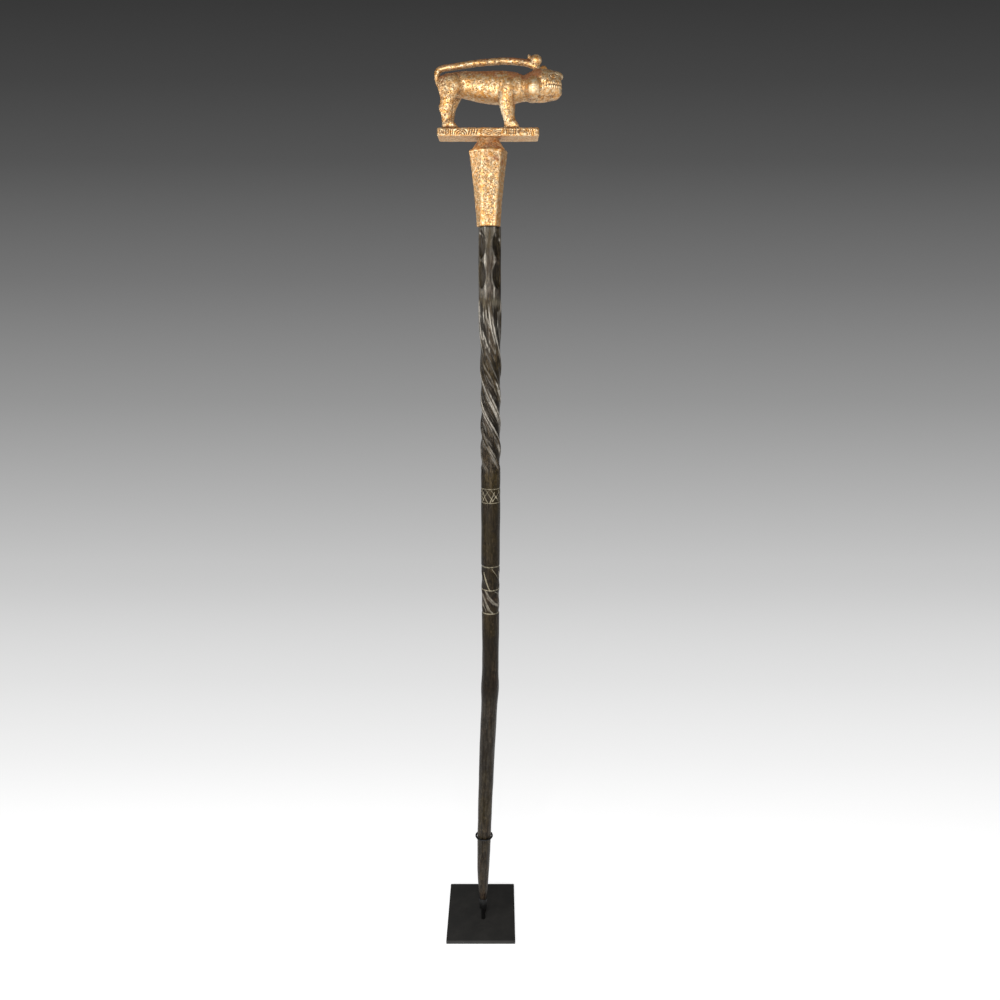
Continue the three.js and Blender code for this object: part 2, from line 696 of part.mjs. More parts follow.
function rodGeometry() {
  const height = ring.height + ring.wire / 2 + rod.rise - gap;
  const geometry = new THREE.CylinderGeometry(rod.diameter / 2, rod.diameter / 2, height, rod.sides);
  geometry.rotateX(Math.PI / 2);
  geometry.translate(ringMiddle.x, 0, plateTop + gap + height / 2);
  return geometry;
}

function ringGeometry() {
  const radius = ringInside() + ring.wire / 2;
  const geometry = new THREE.TorusGeometry(radius, ring.wire / 2, ring.sides, ring.steps);
  geometry.translate(ringMiddle.x, ringMiddle.y, ringMiddle.z);
  return geometry;
}

function cupGeometry() {
  const floor = cup.stemHeight + cup.floor;
  const profile = [
    [0, 0],
    [cup.stem / 2, 0],
    [cup.stem / 2, cup.stemHeight],
    [cupRadius(), cup.stemHeight + cup.floor / 2],
    [cupRadius(), floor + cup.bore],
    [boreRadius(), floor + cup.bore],
    [boreRadius(), floor],
    [0, floor],
  ].map(([x, y]) => new THREE.Vector2(x, y));
  const geometry = new THREE.LatheGeometry(profile, cup.sides);
  geometry.rotateX(Math.PI / 2);
  const foot = shaftMiddle(0);
  geometry.translate(foot.x, foot.y, plateTop + gap);
  return geometry;
}

// One named mesh for each piece, its vertices merged so that its skin is closed
function piece(name, geometry, material) {
  geometry.deleteAttribute('normal');
  geometry.deleteAttribute('uv');
  const closed = mergeVertices(geometry, 1e-4);
  closed.computeVertexNormals();
  const mesh = new THREE.Mesh(closed, material);
  mesh.name = name;
  return mesh;
}

const gilding = () => new THREE.MeshStandardMaterial({ color: '#c99a55', roughness: 0.45, metalness: 0.6 });
const darkWood = () => new THREE.MeshStandardMaterial({ color: '#4a4438', roughness: 0.55, metalness: 0 });
const blackSteel = () => new THREE.MeshStandardMaterial({ color: '#2b2a28', roughness: 0.5, metalness: 0.2 });

const staff = new THREE.Group();
staff.add(piece('finial', finialGeometry(), gilding()));
staff.add(piece('shaft', shaftGeometry(), darkWood()));
staff.add(piece('base_plate', plateGeometry(), blackSteel()));
staff.add(piece('support_rod', rodGeometry(), blackSteel()));
staff.add(piece('support_ring', ringGeometry(), blackSteel()));
staff.add(piece('foot_cup', cupGeometry(), blackSteel()));

export default staff;
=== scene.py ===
# %% [markdown]
# # A linguist's staff on its display stand
# A staff of office has three materials. The head is wood, carved and covered in gold leaf. The pole
# is a hardwood branch, carved and stained almost black. The stand is welded steel with matt black paint.
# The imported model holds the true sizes, so this lesson builds a finer skin round each of its pieces
# and never moves or resizes one.

import math

import bmesh
import bpy
import numpy as np
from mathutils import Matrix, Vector, noise


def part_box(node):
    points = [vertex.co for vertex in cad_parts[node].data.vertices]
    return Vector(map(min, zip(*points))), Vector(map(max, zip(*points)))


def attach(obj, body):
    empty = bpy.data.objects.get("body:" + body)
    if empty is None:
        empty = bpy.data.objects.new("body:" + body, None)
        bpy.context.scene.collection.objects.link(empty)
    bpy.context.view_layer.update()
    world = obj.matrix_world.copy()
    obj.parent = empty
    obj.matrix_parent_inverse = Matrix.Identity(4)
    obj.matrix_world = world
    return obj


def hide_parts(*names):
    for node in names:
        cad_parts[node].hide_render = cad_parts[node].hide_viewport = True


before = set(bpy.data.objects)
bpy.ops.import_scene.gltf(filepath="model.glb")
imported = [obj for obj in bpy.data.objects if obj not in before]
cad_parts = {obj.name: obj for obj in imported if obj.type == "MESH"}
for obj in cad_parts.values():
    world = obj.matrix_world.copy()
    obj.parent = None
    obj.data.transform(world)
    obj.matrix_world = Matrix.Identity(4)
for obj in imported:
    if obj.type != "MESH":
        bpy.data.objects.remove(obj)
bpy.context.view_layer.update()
MM = 0.001
TURN = 2 * math.pi

# %% [markdown]
# ## The camera
# The photographer stood close, with the camera a little under the head of the staff and tilted down.
# So the head is seen from below and the plate from above. A short lens is what gives that.

# %% Set up the camera
CAMERA_PLACE = (0.039, -1.5025, 1.2776)
CAMERA_TILT_DOWN = 13.86
LENS_MM = 29.88
SENSOR_MM = 36
camera_data = bpy.data.cameras.new("camera")
camera_data.sensor_width = SENSOR_MM
camera_data.lens = LENS_MM
camera = bpy.data.objects.new("camera", camera_data)
camera.location = CAMERA_PLACE
camera.rotation_euler = (math.radians(90 - CAMERA_TILT_DOWN), 0, 0)
bpy.context.scene.collection.objects.link(camera)
bpy.context.scene.camera = camera
bpy.context.scene.view_settings.view_transform = "Standard"
print("Camera height in mm:", CAMERA_PLACE[2] / MM)

# %% [markdown]
# ## Two small helpers for materials
# Colours are written as on the web, in sRGB, and Blender's shaders want them linear.
# Every material below is a short list of nodes, so one function adds a node, sets it and links it.


# %% Colour and node helpers
def to_linear(web_colour):
    """A web colour, such as #D9A860, as the four linear numbers that a socket takes."""
    parts = [int(web_colour[i:i + 2], 16) / 255 for i in (1, 3, 5)]
    return (*[v / 12.92 if v <= 0.04045 else ((v + 0.055) / 1.055) ** 2.4 for v in parts], 1)


def add_node(tree, kind, sockets=None, **settings):
    """Adds one node. A socket takes a plain value, an output to link to it, or a node for its first output."""
    node = tree.nodes.new(kind)
    for name, value in settings.items():
        setattr(node, name, value)
    for name, value in (sockets or {}).items():
        if isinstance(value, bpy.types.Node):
            value = next(output for output in value.outputs if output.enabled)
        if isinstance(value, bpy.types.NodeSocket):
            tree.links.new(value, node.inputs[name])
        else:
            node.inputs[name].default_value = value
    return node


def new_material(name):
    """An empty material and its node tree."""
    material = bpy.data.materials.new(name)
    material.use_nodes = True
    material.node_tree.nodes.clear()
    return material, material.node_tree


print("Mid gold in linear numbers:", [round(v, 3) for v in to_linear("#D9A860")])

# %% [markdown]
# ## Mesh helpers
# Almost every form here is a row of rings with a skin over them, as a ship's hull is built on frames.
# A smooth curve through a few named stations gives as many rings as the skin needs.


# %% Curves, rings and skins
def smooth_curve(stations, at):
    """Rows of values on a smooth curve through stations, each a place and its values."""
    table = np.array(stations, float)
    places, values = table[:, 0], table[:, 1:]
    number = np.arange(len(places))
    before = np.maximum(number - 1, 0)
    after = np.minimum(number + 1, len(places) - 1)
    slope = (values[after] - values[before]) / (places[after] - places[before])[:, None]
    i = np.clip(np.searchsorted(places, at) - 1, 0, len(places) - 2)
    span = (places[i + 1] - places[i])[:, None]
    t = np.clip((at - places[i]) / span[:, 0], 0, 1)[:, None]
    start = (2 * t**3 - 3 * t**2 + 1) * values[i] + (t**3 - 2 * t**2 + t) * span * slope[i]
    end = (3 * t**2 - 2 * t**3) * values[i + 1] + (t**3 - t**2) * span * slope[i + 1]
    return start + end


def rings(centres, along, across, power, sides):
    """A ring round each centre, from an ellipse (power 2) to a rounded box (a larger power)."""
    turn = TURN * (np.arange(sides) + 0.5) / sides
    c, s = np.cos(turn), np.sin(turn)
    reach = (np.abs(c) ** power + np.abs(s) ** power) ** (-1 / power)
    centres, along, across = (np.atleast_2d(v)[:, None, :] for v in (centres, along, across))
    return centres + (c * reach)[None, :, None] * along + (s * reach)[None, :, None] * across


def skin(shape):
    """Points and faces of the closed skin over one shape, which is an array of rings."""
    rows, sides = shape.shape[:2]
    here = np.arange(rows * sides).reshape(rows, sides)
    beside = np.roll(here, -1, axis=1)
    quads = np.stack([here[:-1], beside[:-1], beside[1:], here[1:]], axis=-1).reshape(-1, 4)
    return shape.reshape(-1, 3), [*quads.tolist(), here[0, ::-1].tolist(), here[-1].tolist()]


def mesh_of(name, shapes):
    """One mesh that holds the skins of several shapes, with every face looking outwards."""
    points, faces = [], []
    for shape in shapes:
        new_points, new_faces = skin(shape)
        offset = len(points)
        points.extend(new_points.tolist())
        faces.extend([[index + offset for index in face] for face in new_faces])
    mesh = bpy.data.meshes.new(name)
    mesh.from_pydata(points, [], faces)
    edited = bmesh.new()
    edited.from_mesh(mesh)
    bmesh.ops.recalc_face_normals(edited, faces=edited.faces)
    edited.to_mesh(mesh)
    edited.free()
    return mesh


def smoothstep(value, low, high):
    """Rises softly from 0 at low to 1 at high."""
    t = np.clip((value - low) / (high - low), 0, 1)
    return t * t * (3 - 2 * t)


def rough(points, size, stretch=1.0):
    """Smooth random numbers from -1 to 1, in lumps of about that size, longer upwards by stretch."""
    scale = np.array([1, 1, 1 / stretch]) / size
    return np.array([noise.noise(p) for p in (points * scale).tolist()])


def spots(points, size):
    """Distance to the nearest of many scattered spots, in shares of their spacing."""
    return np.array([noise.voronoi(p)[0][0] for p in (points / size).tolist()])


print("A curve through three stations:", smooth_curve([(0, 0), (1, 1), (2, 0)], np.array([0.5])).ravel())

# %% [markdown]
# ## Gold leaf on carved wood
# The carver's wood is coated with gesso and red clay, called bole, and beaten gold leaf is laid on it.
# The leaf is thin, so it takes every tool mark. It crackles with the gesso, with dirt in the cracks, and
# handling wears it down to the red bole in patches. Darker brown in the hollows, under the jaw, on the
# haunch, tail and board and at the neck's foot is dirt and painted shade. Faces that look up are painted
# redder as shade, and paler leaf on the cheeks, face, crown, collar, flank and legs' edges is painted
# highlight. The gold is a metal with a broken, satin shine, and the bole and the dirt are not metal at
# all. It could be one flat gold colour, but then it would look like plastic: what the eye reads as old
# gold is the change from metal to clay.


# %% Material: worn gold leaf
# Broad patches where one sheet of leaf is warmer than the next, about a thumb's width.
LEAF_TONE = 26 * MM
# Small facets that the tools left, which catch the light one by one. The pale colour laid on them is a painted
# highlight.
LEAF_MOTTLE = 5 * MM
# Gesso crackles in cells of one or two millimetres. One pixel of the picture is 1.6 mm here, so the
# cells and the specks of dirt are drawn two or three times as coarse, or they would not show.
CRACKLE_CELL = 4.1 * MM
CRACKLE_BEND = 4.5 * MM
SPECK_SPACING = 3.1 * MM
# Worn patches of red clay are as large as a fingertip's rub.
BOLE_PATCH = 30 * MM


def leaf_colour(tree, tone, mottle):
    """Beaten gold: two warm tones in broad patches, with a pale cream painted as highlight on small facets and where
    the light falls.
    """
    share = add_node(tree, "ShaderNodeMapRange", {"Value": tone, "From Min": 0.35, "From Max": 0.65})
    leaf = add_node(tree, "ShaderNodeMix", {
        "Factor": share, "A": to_linear("#DD9A4B"), "B": to_linear("#F0BE80")}, data_type="RGBA")
    # Painted highlight: where the leaf is painted paler, as if lit.
    painted_highlight = add_node(tree, "ShaderNodeAttribute", attribute_name="painted_highlight").outputs["Fac"]
    painted_shine = add_node(tree, "ShaderNodeMath", {0: mottle, 1: painted_highlight}, operation="ADD")
    pale = add_node(tree, "ShaderNodeMapRange", {
        "Value": painted_shine, "From Min": 0.44, "From Max": 0.66, "To Max": 0.8})
    return add_node(tree, "ShaderNodeMix", {
        "Factor": pale, "A": leaf, "B": to_linear("#FFEFC9")}, data_type="RGBA")


def bole_share(tree, place, crest):
    """Where the leaf shows the red bole: worn patches and places where hands reach, more on faces that look up as
    painted shade, less on crests and where the painted highlight clears it.
    """
    patch = add_node(tree, "ShaderNodeTexNoise", {
        "Vector": place, "Scale": 1 / BOLE_PATCH, "Detail": 5, "Roughness": 0.75, "Distortion": 0.4})
    # Painted shade: faces that look up take more bole, so the tops read darker and redder.
    normal = add_node(tree, "ShaderNodeNewGeometry").outputs["Normal"]
    facing = add_node(tree, "ShaderNodeSeparateXYZ", {"Vector": normal}).outputs["Z"]
    upward = add_node(tree, "ShaderNodeMapRange", {
        "Value": facing, "From Min": 0.15, "From Max": 0.8, "To Max": 0.2})
    handling_and_painted_light = add_node(tree, "ShaderNodeAttribute", attribute_name="handling_and_painted_light").outputs["Fac"]
    wear_and_painted_light = add_node(tree, "ShaderNodeMath", {0: patch, 1: upward}, operation="ADD")
    wear_and_painted_light = add_node(tree, "ShaderNodeMath", {0: wear_and_painted_light, 1: handling_and_painted_light}, operation="ADD")
    wear_and_painted_light = add_node(tree, "ShaderNodeMath", {0: wear_and_painted_light, 1: crest}, operation="SUBTRACT")
    return add_node(tree, "ShaderNodeMapRange", {
        "Value": wear_and_painted_light, "From Min": 0.56, "From Max": 0.68, "To Max": 0.8})


def dirt_and_shade_share(tree, place, tone, mottle, crest):
    """Dirt in the crackle and in fine specks, thicker in some places than others, plus the hollow layer of dirt and
    painted shade; less on crests.
    """
    bend = add_node(tree, "ShaderNodeVectorMath", {
        0: mottle.outputs["Color"], "Scale": CRACKLE_BEND}, operation="SCALE")
    bent = add_node(tree, "ShaderNodeVectorMath", {0: place, 1: bend}, operation="ADD")
    cells = add_node(tree, "ShaderNodeTexVoronoi", {
        "Vector": bent, "Scale": 1 / CRACKLE_CELL}, feature="DISTANCE_TO_EDGE")
    cracks = add_node(tree, "ShaderNodeMapRange", {
        "Value": cells, "From Min": 0.03, "From Max": 0.17, "To Min": 1, "To Max": 0})
    thick = add_node(tree, "ShaderNodeMapRange", {
        "Value": tone, "From Min": 0.36, "From Max": 0.64, "To Min": -0.05, "To Max": 0.05})
    broken = add_node(tree, "ShaderNodeTexNoise", {
        "Vector": place, "Scale": 1 / SPECK_SPACING, "Detail": 3, "Roughness": 0.65, "Distortion": 1.4})
    broken = add_node(tree, "ShaderNodeMath", {0: broken, 1: thick}, operation="ADD")
    open_cracks = add_node(tree, "ShaderNodeMapRange", {
        "Value": broken, "From Min": 0.42, "From Max": 0.6, "To Max": 0.75})
    cracks = add_node(tree, "ShaderNodeMath", {0: cracks, 1: open_cracks}, operation="MULTIPLY")
    specks = add_node(tree, "ShaderNodeMapRange", {
        "Value": broken, "From Min": 0.54, "From Max": 0.66, "To Max": 0.6})
    # The hollow layer is dirt and painted shade, from the finial's hollows and shaded places.
    hollow = add_node(tree, "ShaderNodeAttribute", attribute_name="hollow").outputs["Fac"]
    dirt_and_shade = add_node(tree, "ShaderNodeMath", {0: cracks, 1: specks}, operation="MAXIMUM")
    dirt_and_shade = add_node(tree, "ShaderNodeMath", {0: dirt_and_shade, 1: hollow}, operation="ADD", use_clamp=True)
    return add_node(tree, "ShaderNodeMath", {0: dirt_and_shade, 1: crest}, operation="SUBTRACT", use_clamp=True)


def worn_gold_leaf():
    """Beaten gold leaf over red bole, crackled, speckled with dirt and worn, with painted shade and painted highlight.
    """
    material, tree = new_material("worn_gold_leaf_on_bole")
    place = add_node(tree, "ShaderNodeTexCoord").outputs["Object"]
    crest = add_node(tree, "ShaderNodeAttribute", attribute_name="crest").outputs["Fac"]
    tone = add_node(tree, "ShaderNodeTexNoise", {
        "Vector": place, "Scale": 1 / LEAF_TONE, "Detail": 3, "Roughness": 0.6})
    mottle = add_node(tree, "ShaderNodeTexNoise", {
        "Vector": place, "Scale": 1 / LEAF_MOTTLE, "Detail": 4, "Roughness": 0.7})
    bole = bole_share(tree, place, crest)
    dirt_and_shade = dirt_and_shade_share(tree, place, tone, mottle, crest)
    colour = add_node(tree, "ShaderNodeMix", {
        "Factor": bole, "A": leaf_colour(tree, tone, mottle), "B": to_linear("#9E5A38")}, data_type="RGBA")
    # Brown over the leaf: dirt in the crackle and specks, and painted shade in the hollows and shaded places.
    colour = add_node(tree, "ShaderNodeMix", {
        "Factor": dirt_and_shade, "A": colour, "B": to_linear("#6E451C")}, data_type="RGBA")
    # Where leaf is left it mirrors the soft boxes. Bare clay and dirt are dull, so they stay matt.
    bare = add_node(tree, "ShaderNodeMath", {0: bole, 1: dirt_and_shade}, operation="MAXIMUM")
    metal = add_node(tree, "ShaderNodeMapRange", {"Value": bare, "To Min": 0.74, "To Max": 0.1})
    gloss = add_node(tree, "ShaderNodeMapRange", {"Value": bare, "To Min": 0.4, "To Max": 0.6})
    # A shallow bump breaks the mirror into many small lights, as hammered leaf does.
    height = add_node(tree, "ShaderNodeMath", {0: mottle, 1: dirt_and_shade}, operation="SUBTRACT")
    bump = add_node(tree, "ShaderNodeBump", {"Height": height, "Strength": 0.6, "Distance": 0.8 * MM})
    shader = add_node(tree, "ShaderNodeBsdfPrincipled", {
        "Base Color": colour, "Metallic": metal, "Roughness": gloss, "Normal": bump})
    add_node(tree, "ShaderNodeOutputMaterial", {"Surface": shader})
    return material


gold_leaf = worn_gold_leaf()
print("Gold leaf nodes:", len(gold_leaf.node_tree.nodes))

# %% [markdown]
# ## Stained hardwood
# The pole is a peeled branch. It was carved, stained almost black with a plant dye and polished by
# hands, so it has a soft shine on the crests. The stain is brown and olive where it wore thin, and the
# knife cuts that were made through it show the pale wood. The same carving that shapes the skin also
# stores how cut each point is, how pale it is painted as wear and highlight and how dark as shade, so
# colour and form never drift apart.


# %% Material: dark stained hardwood
# Real pores are under a millimetre wide, and a pixel covers 2 mm of the pole. The grain is drawn
# wider, in streaks about 40 mm long, so that the picture still shows it.
GRAIN_WIDTH = 4.2 * MM
GRAIN_STRETCH = 9
# Flecks of worn polish and small dents.
FLECK_WIDTH = 3.4 * MM
FLECK_STRETCH = 2.2
# The dye took unevenly, in patches a hand's breadth long.
STAIN_PATCH = 55 * MM


def stained_wood_colour(tree, place, grain, fleck):
    """The dye: almost black, browner in its streaks, olive or reddish where it wore thin, with pale flecks."""
    patch = add_node(tree, "ShaderNodeTexNoise", {
        "Vector": place, "Scale": 1 / STAIN_PATCH, "Detail": 4, "Roughness": 0.6})
    wood = to_linear("#090705")
    for pattern, low, high, most, tone in (
            (grain, 0.45, 0.62, 1, "#45392A"), (patch, 0.47, 0.6, 0.6, "#3D3110"),
            (patch, 0.44, 0.34, 0.45, "#3A2214"), (fleck, 0.56, 0.68, 0.38, "#7A694C"),
            (fleck, 0.46, 0.36, 0.8, "#060504")):
        share = add_node(tree, "ShaderNodeMapRange", {
            "Value": pattern, "From Min": low, "From Max": high, "To Max": most})
        wood = add_node(tree, "ShaderNodeMix", {
            "Factor": share, "A": wood, "B": to_linear(tone)}, data_type="RGBA")
    return wood


def worked_wood_colour(tree, wood, grain, fleck):
    """Over the dye: painted shade in the hollows, pale crests as wear and painted highlight, and knife cuts that show
    the bare wood.
    """
    # Painted shade: the hollow layer darkens the scoops, one side of each flute, the top end and the knee, with uneven
    # colour.
    hollow = add_node(tree, "ShaderNodeAttribute", attribute_name="hollow").outputs["Fac"]
    wood = add_node(tree, "ShaderNodeMix", {
        "Factor": hollow, "A": wood, "B": to_linear("#100D09")}, data_type="RGBA")
    # Painted highlight and wear: the pale layer on ridges, rims and strokes.
    wear_and_painted_highlight = add_node(tree, "ShaderNodeAttribute", attribute_name="wear_and_painted_highlight").outputs["Fac"]
    broken = add_node(tree, "ShaderNodeMapRange", {
        "Value": fleck, "From Min": 0.36, "From Max": 0.56, "To Min": 0.45})
    wear_and_painted_highlight = add_node(tree, "ShaderNodeMath", {0: wear_and_painted_highlight, 1: broken}, operation="MULTIPLY")
    wood = add_node(tree, "ShaderNodeMix", {
        "Factor": wear_and_painted_highlight, "A": wood, "B": to_linear("#D6CFC2")}, data_type="RGBA")
    cut = add_node(tree, "ShaderNodeAttribute", attribute_name="cut").outputs["Fac"]
    open_grain = add_node(tree, "ShaderNodeMapRange", {
        "Value": grain, "From Min": 0.4, "From Max": 0.6, "To Min": 0.69, "To Max": 1.15})
    cut = add_node(tree, "ShaderNodeMath", {0: cut, 1: open_grain}, operation="MULTIPLY", use_clamp=True)
    return add_node(tree, "ShaderNodeMix", {
        "Factor": cut, "A": wood, "B": to_linear("#CFC4A8")}, data_type="RGBA")


def stained_hardwood():
    """A dyed, hand-polished branch with pale knife cuts."""
    material, tree = new_material("dark_stained_hardwood")
    place = add_node(tree, "ShaderNodeTexCoord").outputs["Object"]
    long_place = add_node(tree, "ShaderNodeMapping", {"Vector": place, "Scale": (1, 1, 1 / GRAIN_STRETCH)})
    grain = add_node(tree, "ShaderNodeTexNoise", {
        "Vector": long_place, "Scale": 1 / GRAIN_WIDTH, "Detail": 5, "Roughness": 0.7})
    short_place = add_node(tree, "ShaderNodeMapping", {"Vector": place, "Scale": (1, 1, 1 / FLECK_STRETCH)})
    fleck = add_node(tree, "ShaderNodeTexNoise", {
        "Vector": short_place, "Scale": 1 / FLECK_WIDTH, "Detail": 3, "Roughness": 0.6, "Distortion": 0.6})
    wood = worked_wood_colour(tree, stained_wood_colour(tree, place, grain, fleck), grain, fleck)
    # Palm polish is thin and warm: a low index and a warm tint keep the shine soft and not like varnish.
    relief = add_node(tree, "ShaderNodeMath", {0: grain, 1: fleck}, operation="ADD")
    bump = add_node(tree, "ShaderNodeBump", {"Height": relief, "Strength": 0.7, "Distance": 0.9 * MM})
    gloss = add_node(tree, "ShaderNodeMapRange", {
        "Value": grain, "From Min": 0.3, "From Max": 0.7, "To Min": 0.26, "To Max": 0.44})
    shader = add_node(tree, "ShaderNodeBsdfPrincipled", {
        "Base Color": wood, "Roughness": gloss, "Normal": bump, "IOR": 1.36,
        "Specular Tint": to_linear("#FFEEDA")})
    add_node(tree, "ShaderNodeOutputMaterial", {"Surface": shader})
    return material


dark_wood = stained_hardwood()
print("Wood nodes:", len(dark_wood.node_tree.nodes))

# %% [markdown]
# ## Matt black paint on steel
# The stand is made to disappear: mild steel sprayed with a flat black. Sprayed paint dries to a fine
# grain. The plate and the upright wires wear the same black, but the plate's is painted greyer as light
# and the wires' darker as shade. One function makes both, from two tones and a roughness.


# %% Material: matt black paint
# The spray's own grain is a few tenths of a millimetre. It is drawn a millimetre wide, to be seen close up.
PAINT_GRAIN = 1.2 * MM
# Dust lies in soft patches, where a cloth missed it.
DUST_PATCH = 40 * MM


def matt_black_paint(name, clean_tone, dusty_tone, roughness):
    """Sprayed flat black with a fine grain and a breath of dust."""
    material, tree = new_material(name)
    place = add_node(tree, "ShaderNodeTexCoord").outputs["Object"]
    grain = add_node(tree, "ShaderNodeTexNoise", {
        "Vector": place, "Scale": 1 / PAINT_GRAIN, "Detail": 2})
    dust = add_node(tree, "ShaderNodeTexNoise", {
        "Vector": place, "Scale": 1 / DUST_PATCH, "Detail": 6, "Roughness": 0.7})
    dust = add_node(tree, "ShaderNodeMapRange", {
        "Value": dust.outputs["Fac"], "From Min": 0.4, "From Max": 0.7})
    paint = add_node(tree, "ShaderNodeMix", {
        "Factor": dust.outputs["Result"], "A": to_linear(clean_tone), "B": to_linear(dusty_tone)},
        data_type="RGBA")
    bump = add_node(tree, "ShaderNodeBump", {
        "Height": grain.outputs["Fac"], "Strength": 0.25, "Distance": 0.15 * MM})
    shader = add_node(tree, "ShaderNodeBsdfPrincipled", {
        "Base Color": paint.outputs["Result"], "Roughness": roughness, "Normal": bump.outputs["Normal"],
        "IOR": 1.5})
    add_node(tree, "ShaderNodeOutputMaterial", {"Surface": shader.outputs["BSDF"]})
    return material


# Painted light and shade on one paint: the plate's black is lighter, the wires' darker.
plate_paint = matt_black_paint("matt_black_plate_painted_lighter", "#353432", "#42403D", 0.66)
wire_paint = matt_black_paint("matt_black_wire_painted_darker", "#0B0B0A", "#171615", 0.5)
print("Paint nodes:", len(plate_paint.node_tree.nodes))

# %% [markdown]
# ## Putting a piece on the staff
# Each finer piece takes over from one imported piece: it rides on the same body, hides that piece and
# takes its own material.


# %% Finish a piece
def finish_piece(name, mesh, material, node):
    """Makes the object, smooths its shading and hands it to the frame in place of a node."""
    mesh.materials.clear()
    mesh.materials.append(material)
    mesh.polygons.foreach_set("use_smooth", [True] * len(mesh.polygons))
    piece = bpy.data.objects.new(name, mesh)
    bpy.context.scene.collection.objects.link(piece)
    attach(piece, "root")
    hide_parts(node)
    corners = sum(len(face.vertices) - 2 for face in mesh.polygons)
    print(name, "has", corners, "triangles")
    return piece


def box_middle(node):
    """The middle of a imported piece's box, as an array."""
    low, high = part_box(node)
    return (np.array(low) + np.array(high)) / 2


# %% [markdown]
# ## The pole
# The branch was shaved round, so it isn't quite straight or even: it leans below its knee and stands
# upright above it. The skin is a fine grid whose columns turn with the carved flutes, so that each
# ridge runs along one column of points and stays crisp.

# %% The pole's line and thickness, in millimetres above its foot
shaft_low, shaft_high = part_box("shaft")
SHAFT_LENGTH = (shaft_high.z - shaft_low.z) / MM
SHAFT_RADII = [
    (0, 5.7), (0.015, 6.84), (0.03, 9.52), (0.066, 12.18), (0.11, 13.72), (0.17, 14.28), (0.28, 15.6),
    (0.43, 16.22), (0.57, 17.61), (0.69, 17.75), (0.8, 17.75), (0.865, 19.01), (0.91, 19.36), (1, 19.6),
]
KNEE = {"height": 0.368, "length": 24, "swell": 1.5}
LEAN = {"ankle": 0.067, "crook": 0.385, "lower": 0.0345, "upper": 0.0035, "bend": 25}
BOW = {"size": 1.8, "bottom": 0.315, "top": 0.875, "fade": 90}
SCOOPS = {"columns": 4, "heights": (0.979, 0.942), "half_angle": 0.52, "half_height": 23, "depth": 4.4,
          "shift": 0.06, "flats": (1.0, 0.9605, 0.922)}
TWIST = {"bottom": 0.69, "top": 0.908, "flutes": 4, "depth": 2.3, "swell": 0.9, "pitch": 185,
         "easing": 70, "fade": 9}
STROKES = {"bottom": 0.4855, "middle": 0.52, "top": 0.554, "flutes": 4, "depth": 0.8, "pitch": 140,
           "fade": 2}
LATTICE = {"bottom": 0.645, "top": 0.664, "cuts": 12}
foot_middle = box_middle("foot_cup")


def soft_ramp(value, softness):
    """Rises from 0 with a soft start, and then as fast as its input."""
    return softness * np.log1p(np.exp(np.clip(value / softness, -60, 60)))


def between(height, bottom, top, fade):
    """1 between two heights, given as shares of the length, and 0 outside them, with soft ends."""
    low, high = bottom * SHAFT_LENGTH, top * SHAFT_LENGTH
    return smoothstep(height, low - fade, low + fade) * (1 - smoothstep(height, high - fade, high + fade))


def shaft_radius(height):
    """The pole's radius before it is carved."""
    knee = (height - KNEE["height"] * SHAFT_LENGTH) / KNEE["length"]
    swell = TWIST["swell"] * between(height, TWIST["bottom"], TWIST["top"], TWIST["fade"])
    plain = smooth_curve(SHAFT_RADII, np.ravel(height) / SHAFT_LENGTH)[:, 0].reshape(np.shape(height))
    return plain + swell + KNEE["swell"] * np.exp(-knee * knee)


def shaft_middle_x(height):
    """How far the pole's middle is to the right of its foot."""
    ankle = soft_ramp(height - LEAN["ankle"] * SHAFT_LENGTH, LEAN["bend"])
    crook = soft_ramp(height - LEAN["crook"] * SHAFT_LENGTH, LEAN["bend"])
    bow = BOW["size"] * between(height, BOW["bottom"], BOW["top"], BOW["fade"])
    return LEAN["lower"] * ankle - (LEAN["lower"] - LEAN["upper"]) * crook + bow


def flute_turn(height):
    """How far the carved flutes have turned round the pole."""
    top, bottom = TWIST["top"] * SHAFT_LENGTH, TWIST["bottom"] * SHAFT_LENGTH
    down = np.clip(top - height, 0, top - bottom)
    soft = TWIST["easing"] / 2
    main = TURN / TWIST["pitch"] * (soft_ramp(down - TWIST["easing"], soft) - soft_ramp(-TWIST["easing"], soft))
    low, high = STROKES["bottom"] * SHAFT_LENGTH, STROKES["top"] * SHAFT_LENGTH
    return main + TURN / STROKES["pitch"] * np.clip(high - height, 0, high - low)


print("Pole length in mm:", round(SHAFT_LENGTH, 1))

# %% [markdown]
# ## Carving the pole
# From the top down the carver cut two rows of scoops, long flutes that twist, a band of crossed lines,
# and a band of slanting strokes between rings. Each is a depth that is taken off the radius.


# %% Depth of the pole's carving
def wrapped(angle):
    """An angle as a number from minus half a turn to half a turn."""
    return np.arctan2(np.sin(angle), np.cos(angle))


def scoop_depth(height, angle):
    """Lens-shaped hollows in two rows, with crisp rims."""
    depth = 0
    for column in range(SCOOPS["columns"]):
        away = wrapped(angle - TURN * (column + 0.5) / SCOOPS["columns"] + SCOOPS["shift"]) / SCOOPS["half_angle"]
        for share in SCOOPS["heights"]:
            up = (height - share * SHAFT_LENGTH) / SCOOPS["half_height"]
            depth = depth + SCOOPS["depth"] * np.maximum(0, 1 - away**2 - up**2) ** 0.6
    return depth


def ridge_flats(height, angle):
    """Painted highlight on the flats where the ridge between the scoops is widest, broader on its left side, where the
    light falls.
    """
    layers = []
    for share in SCOOPS["flats"]:
        up = (height - share * SHAFT_LENGTH) / 13
        for middle, width in ((-0.43, 0.13), (0.4, 0.06)):
            layers.append(np.exp(-((wrapped(angle - middle) / width) ** 2) - up**4))
    return max_of(layers)


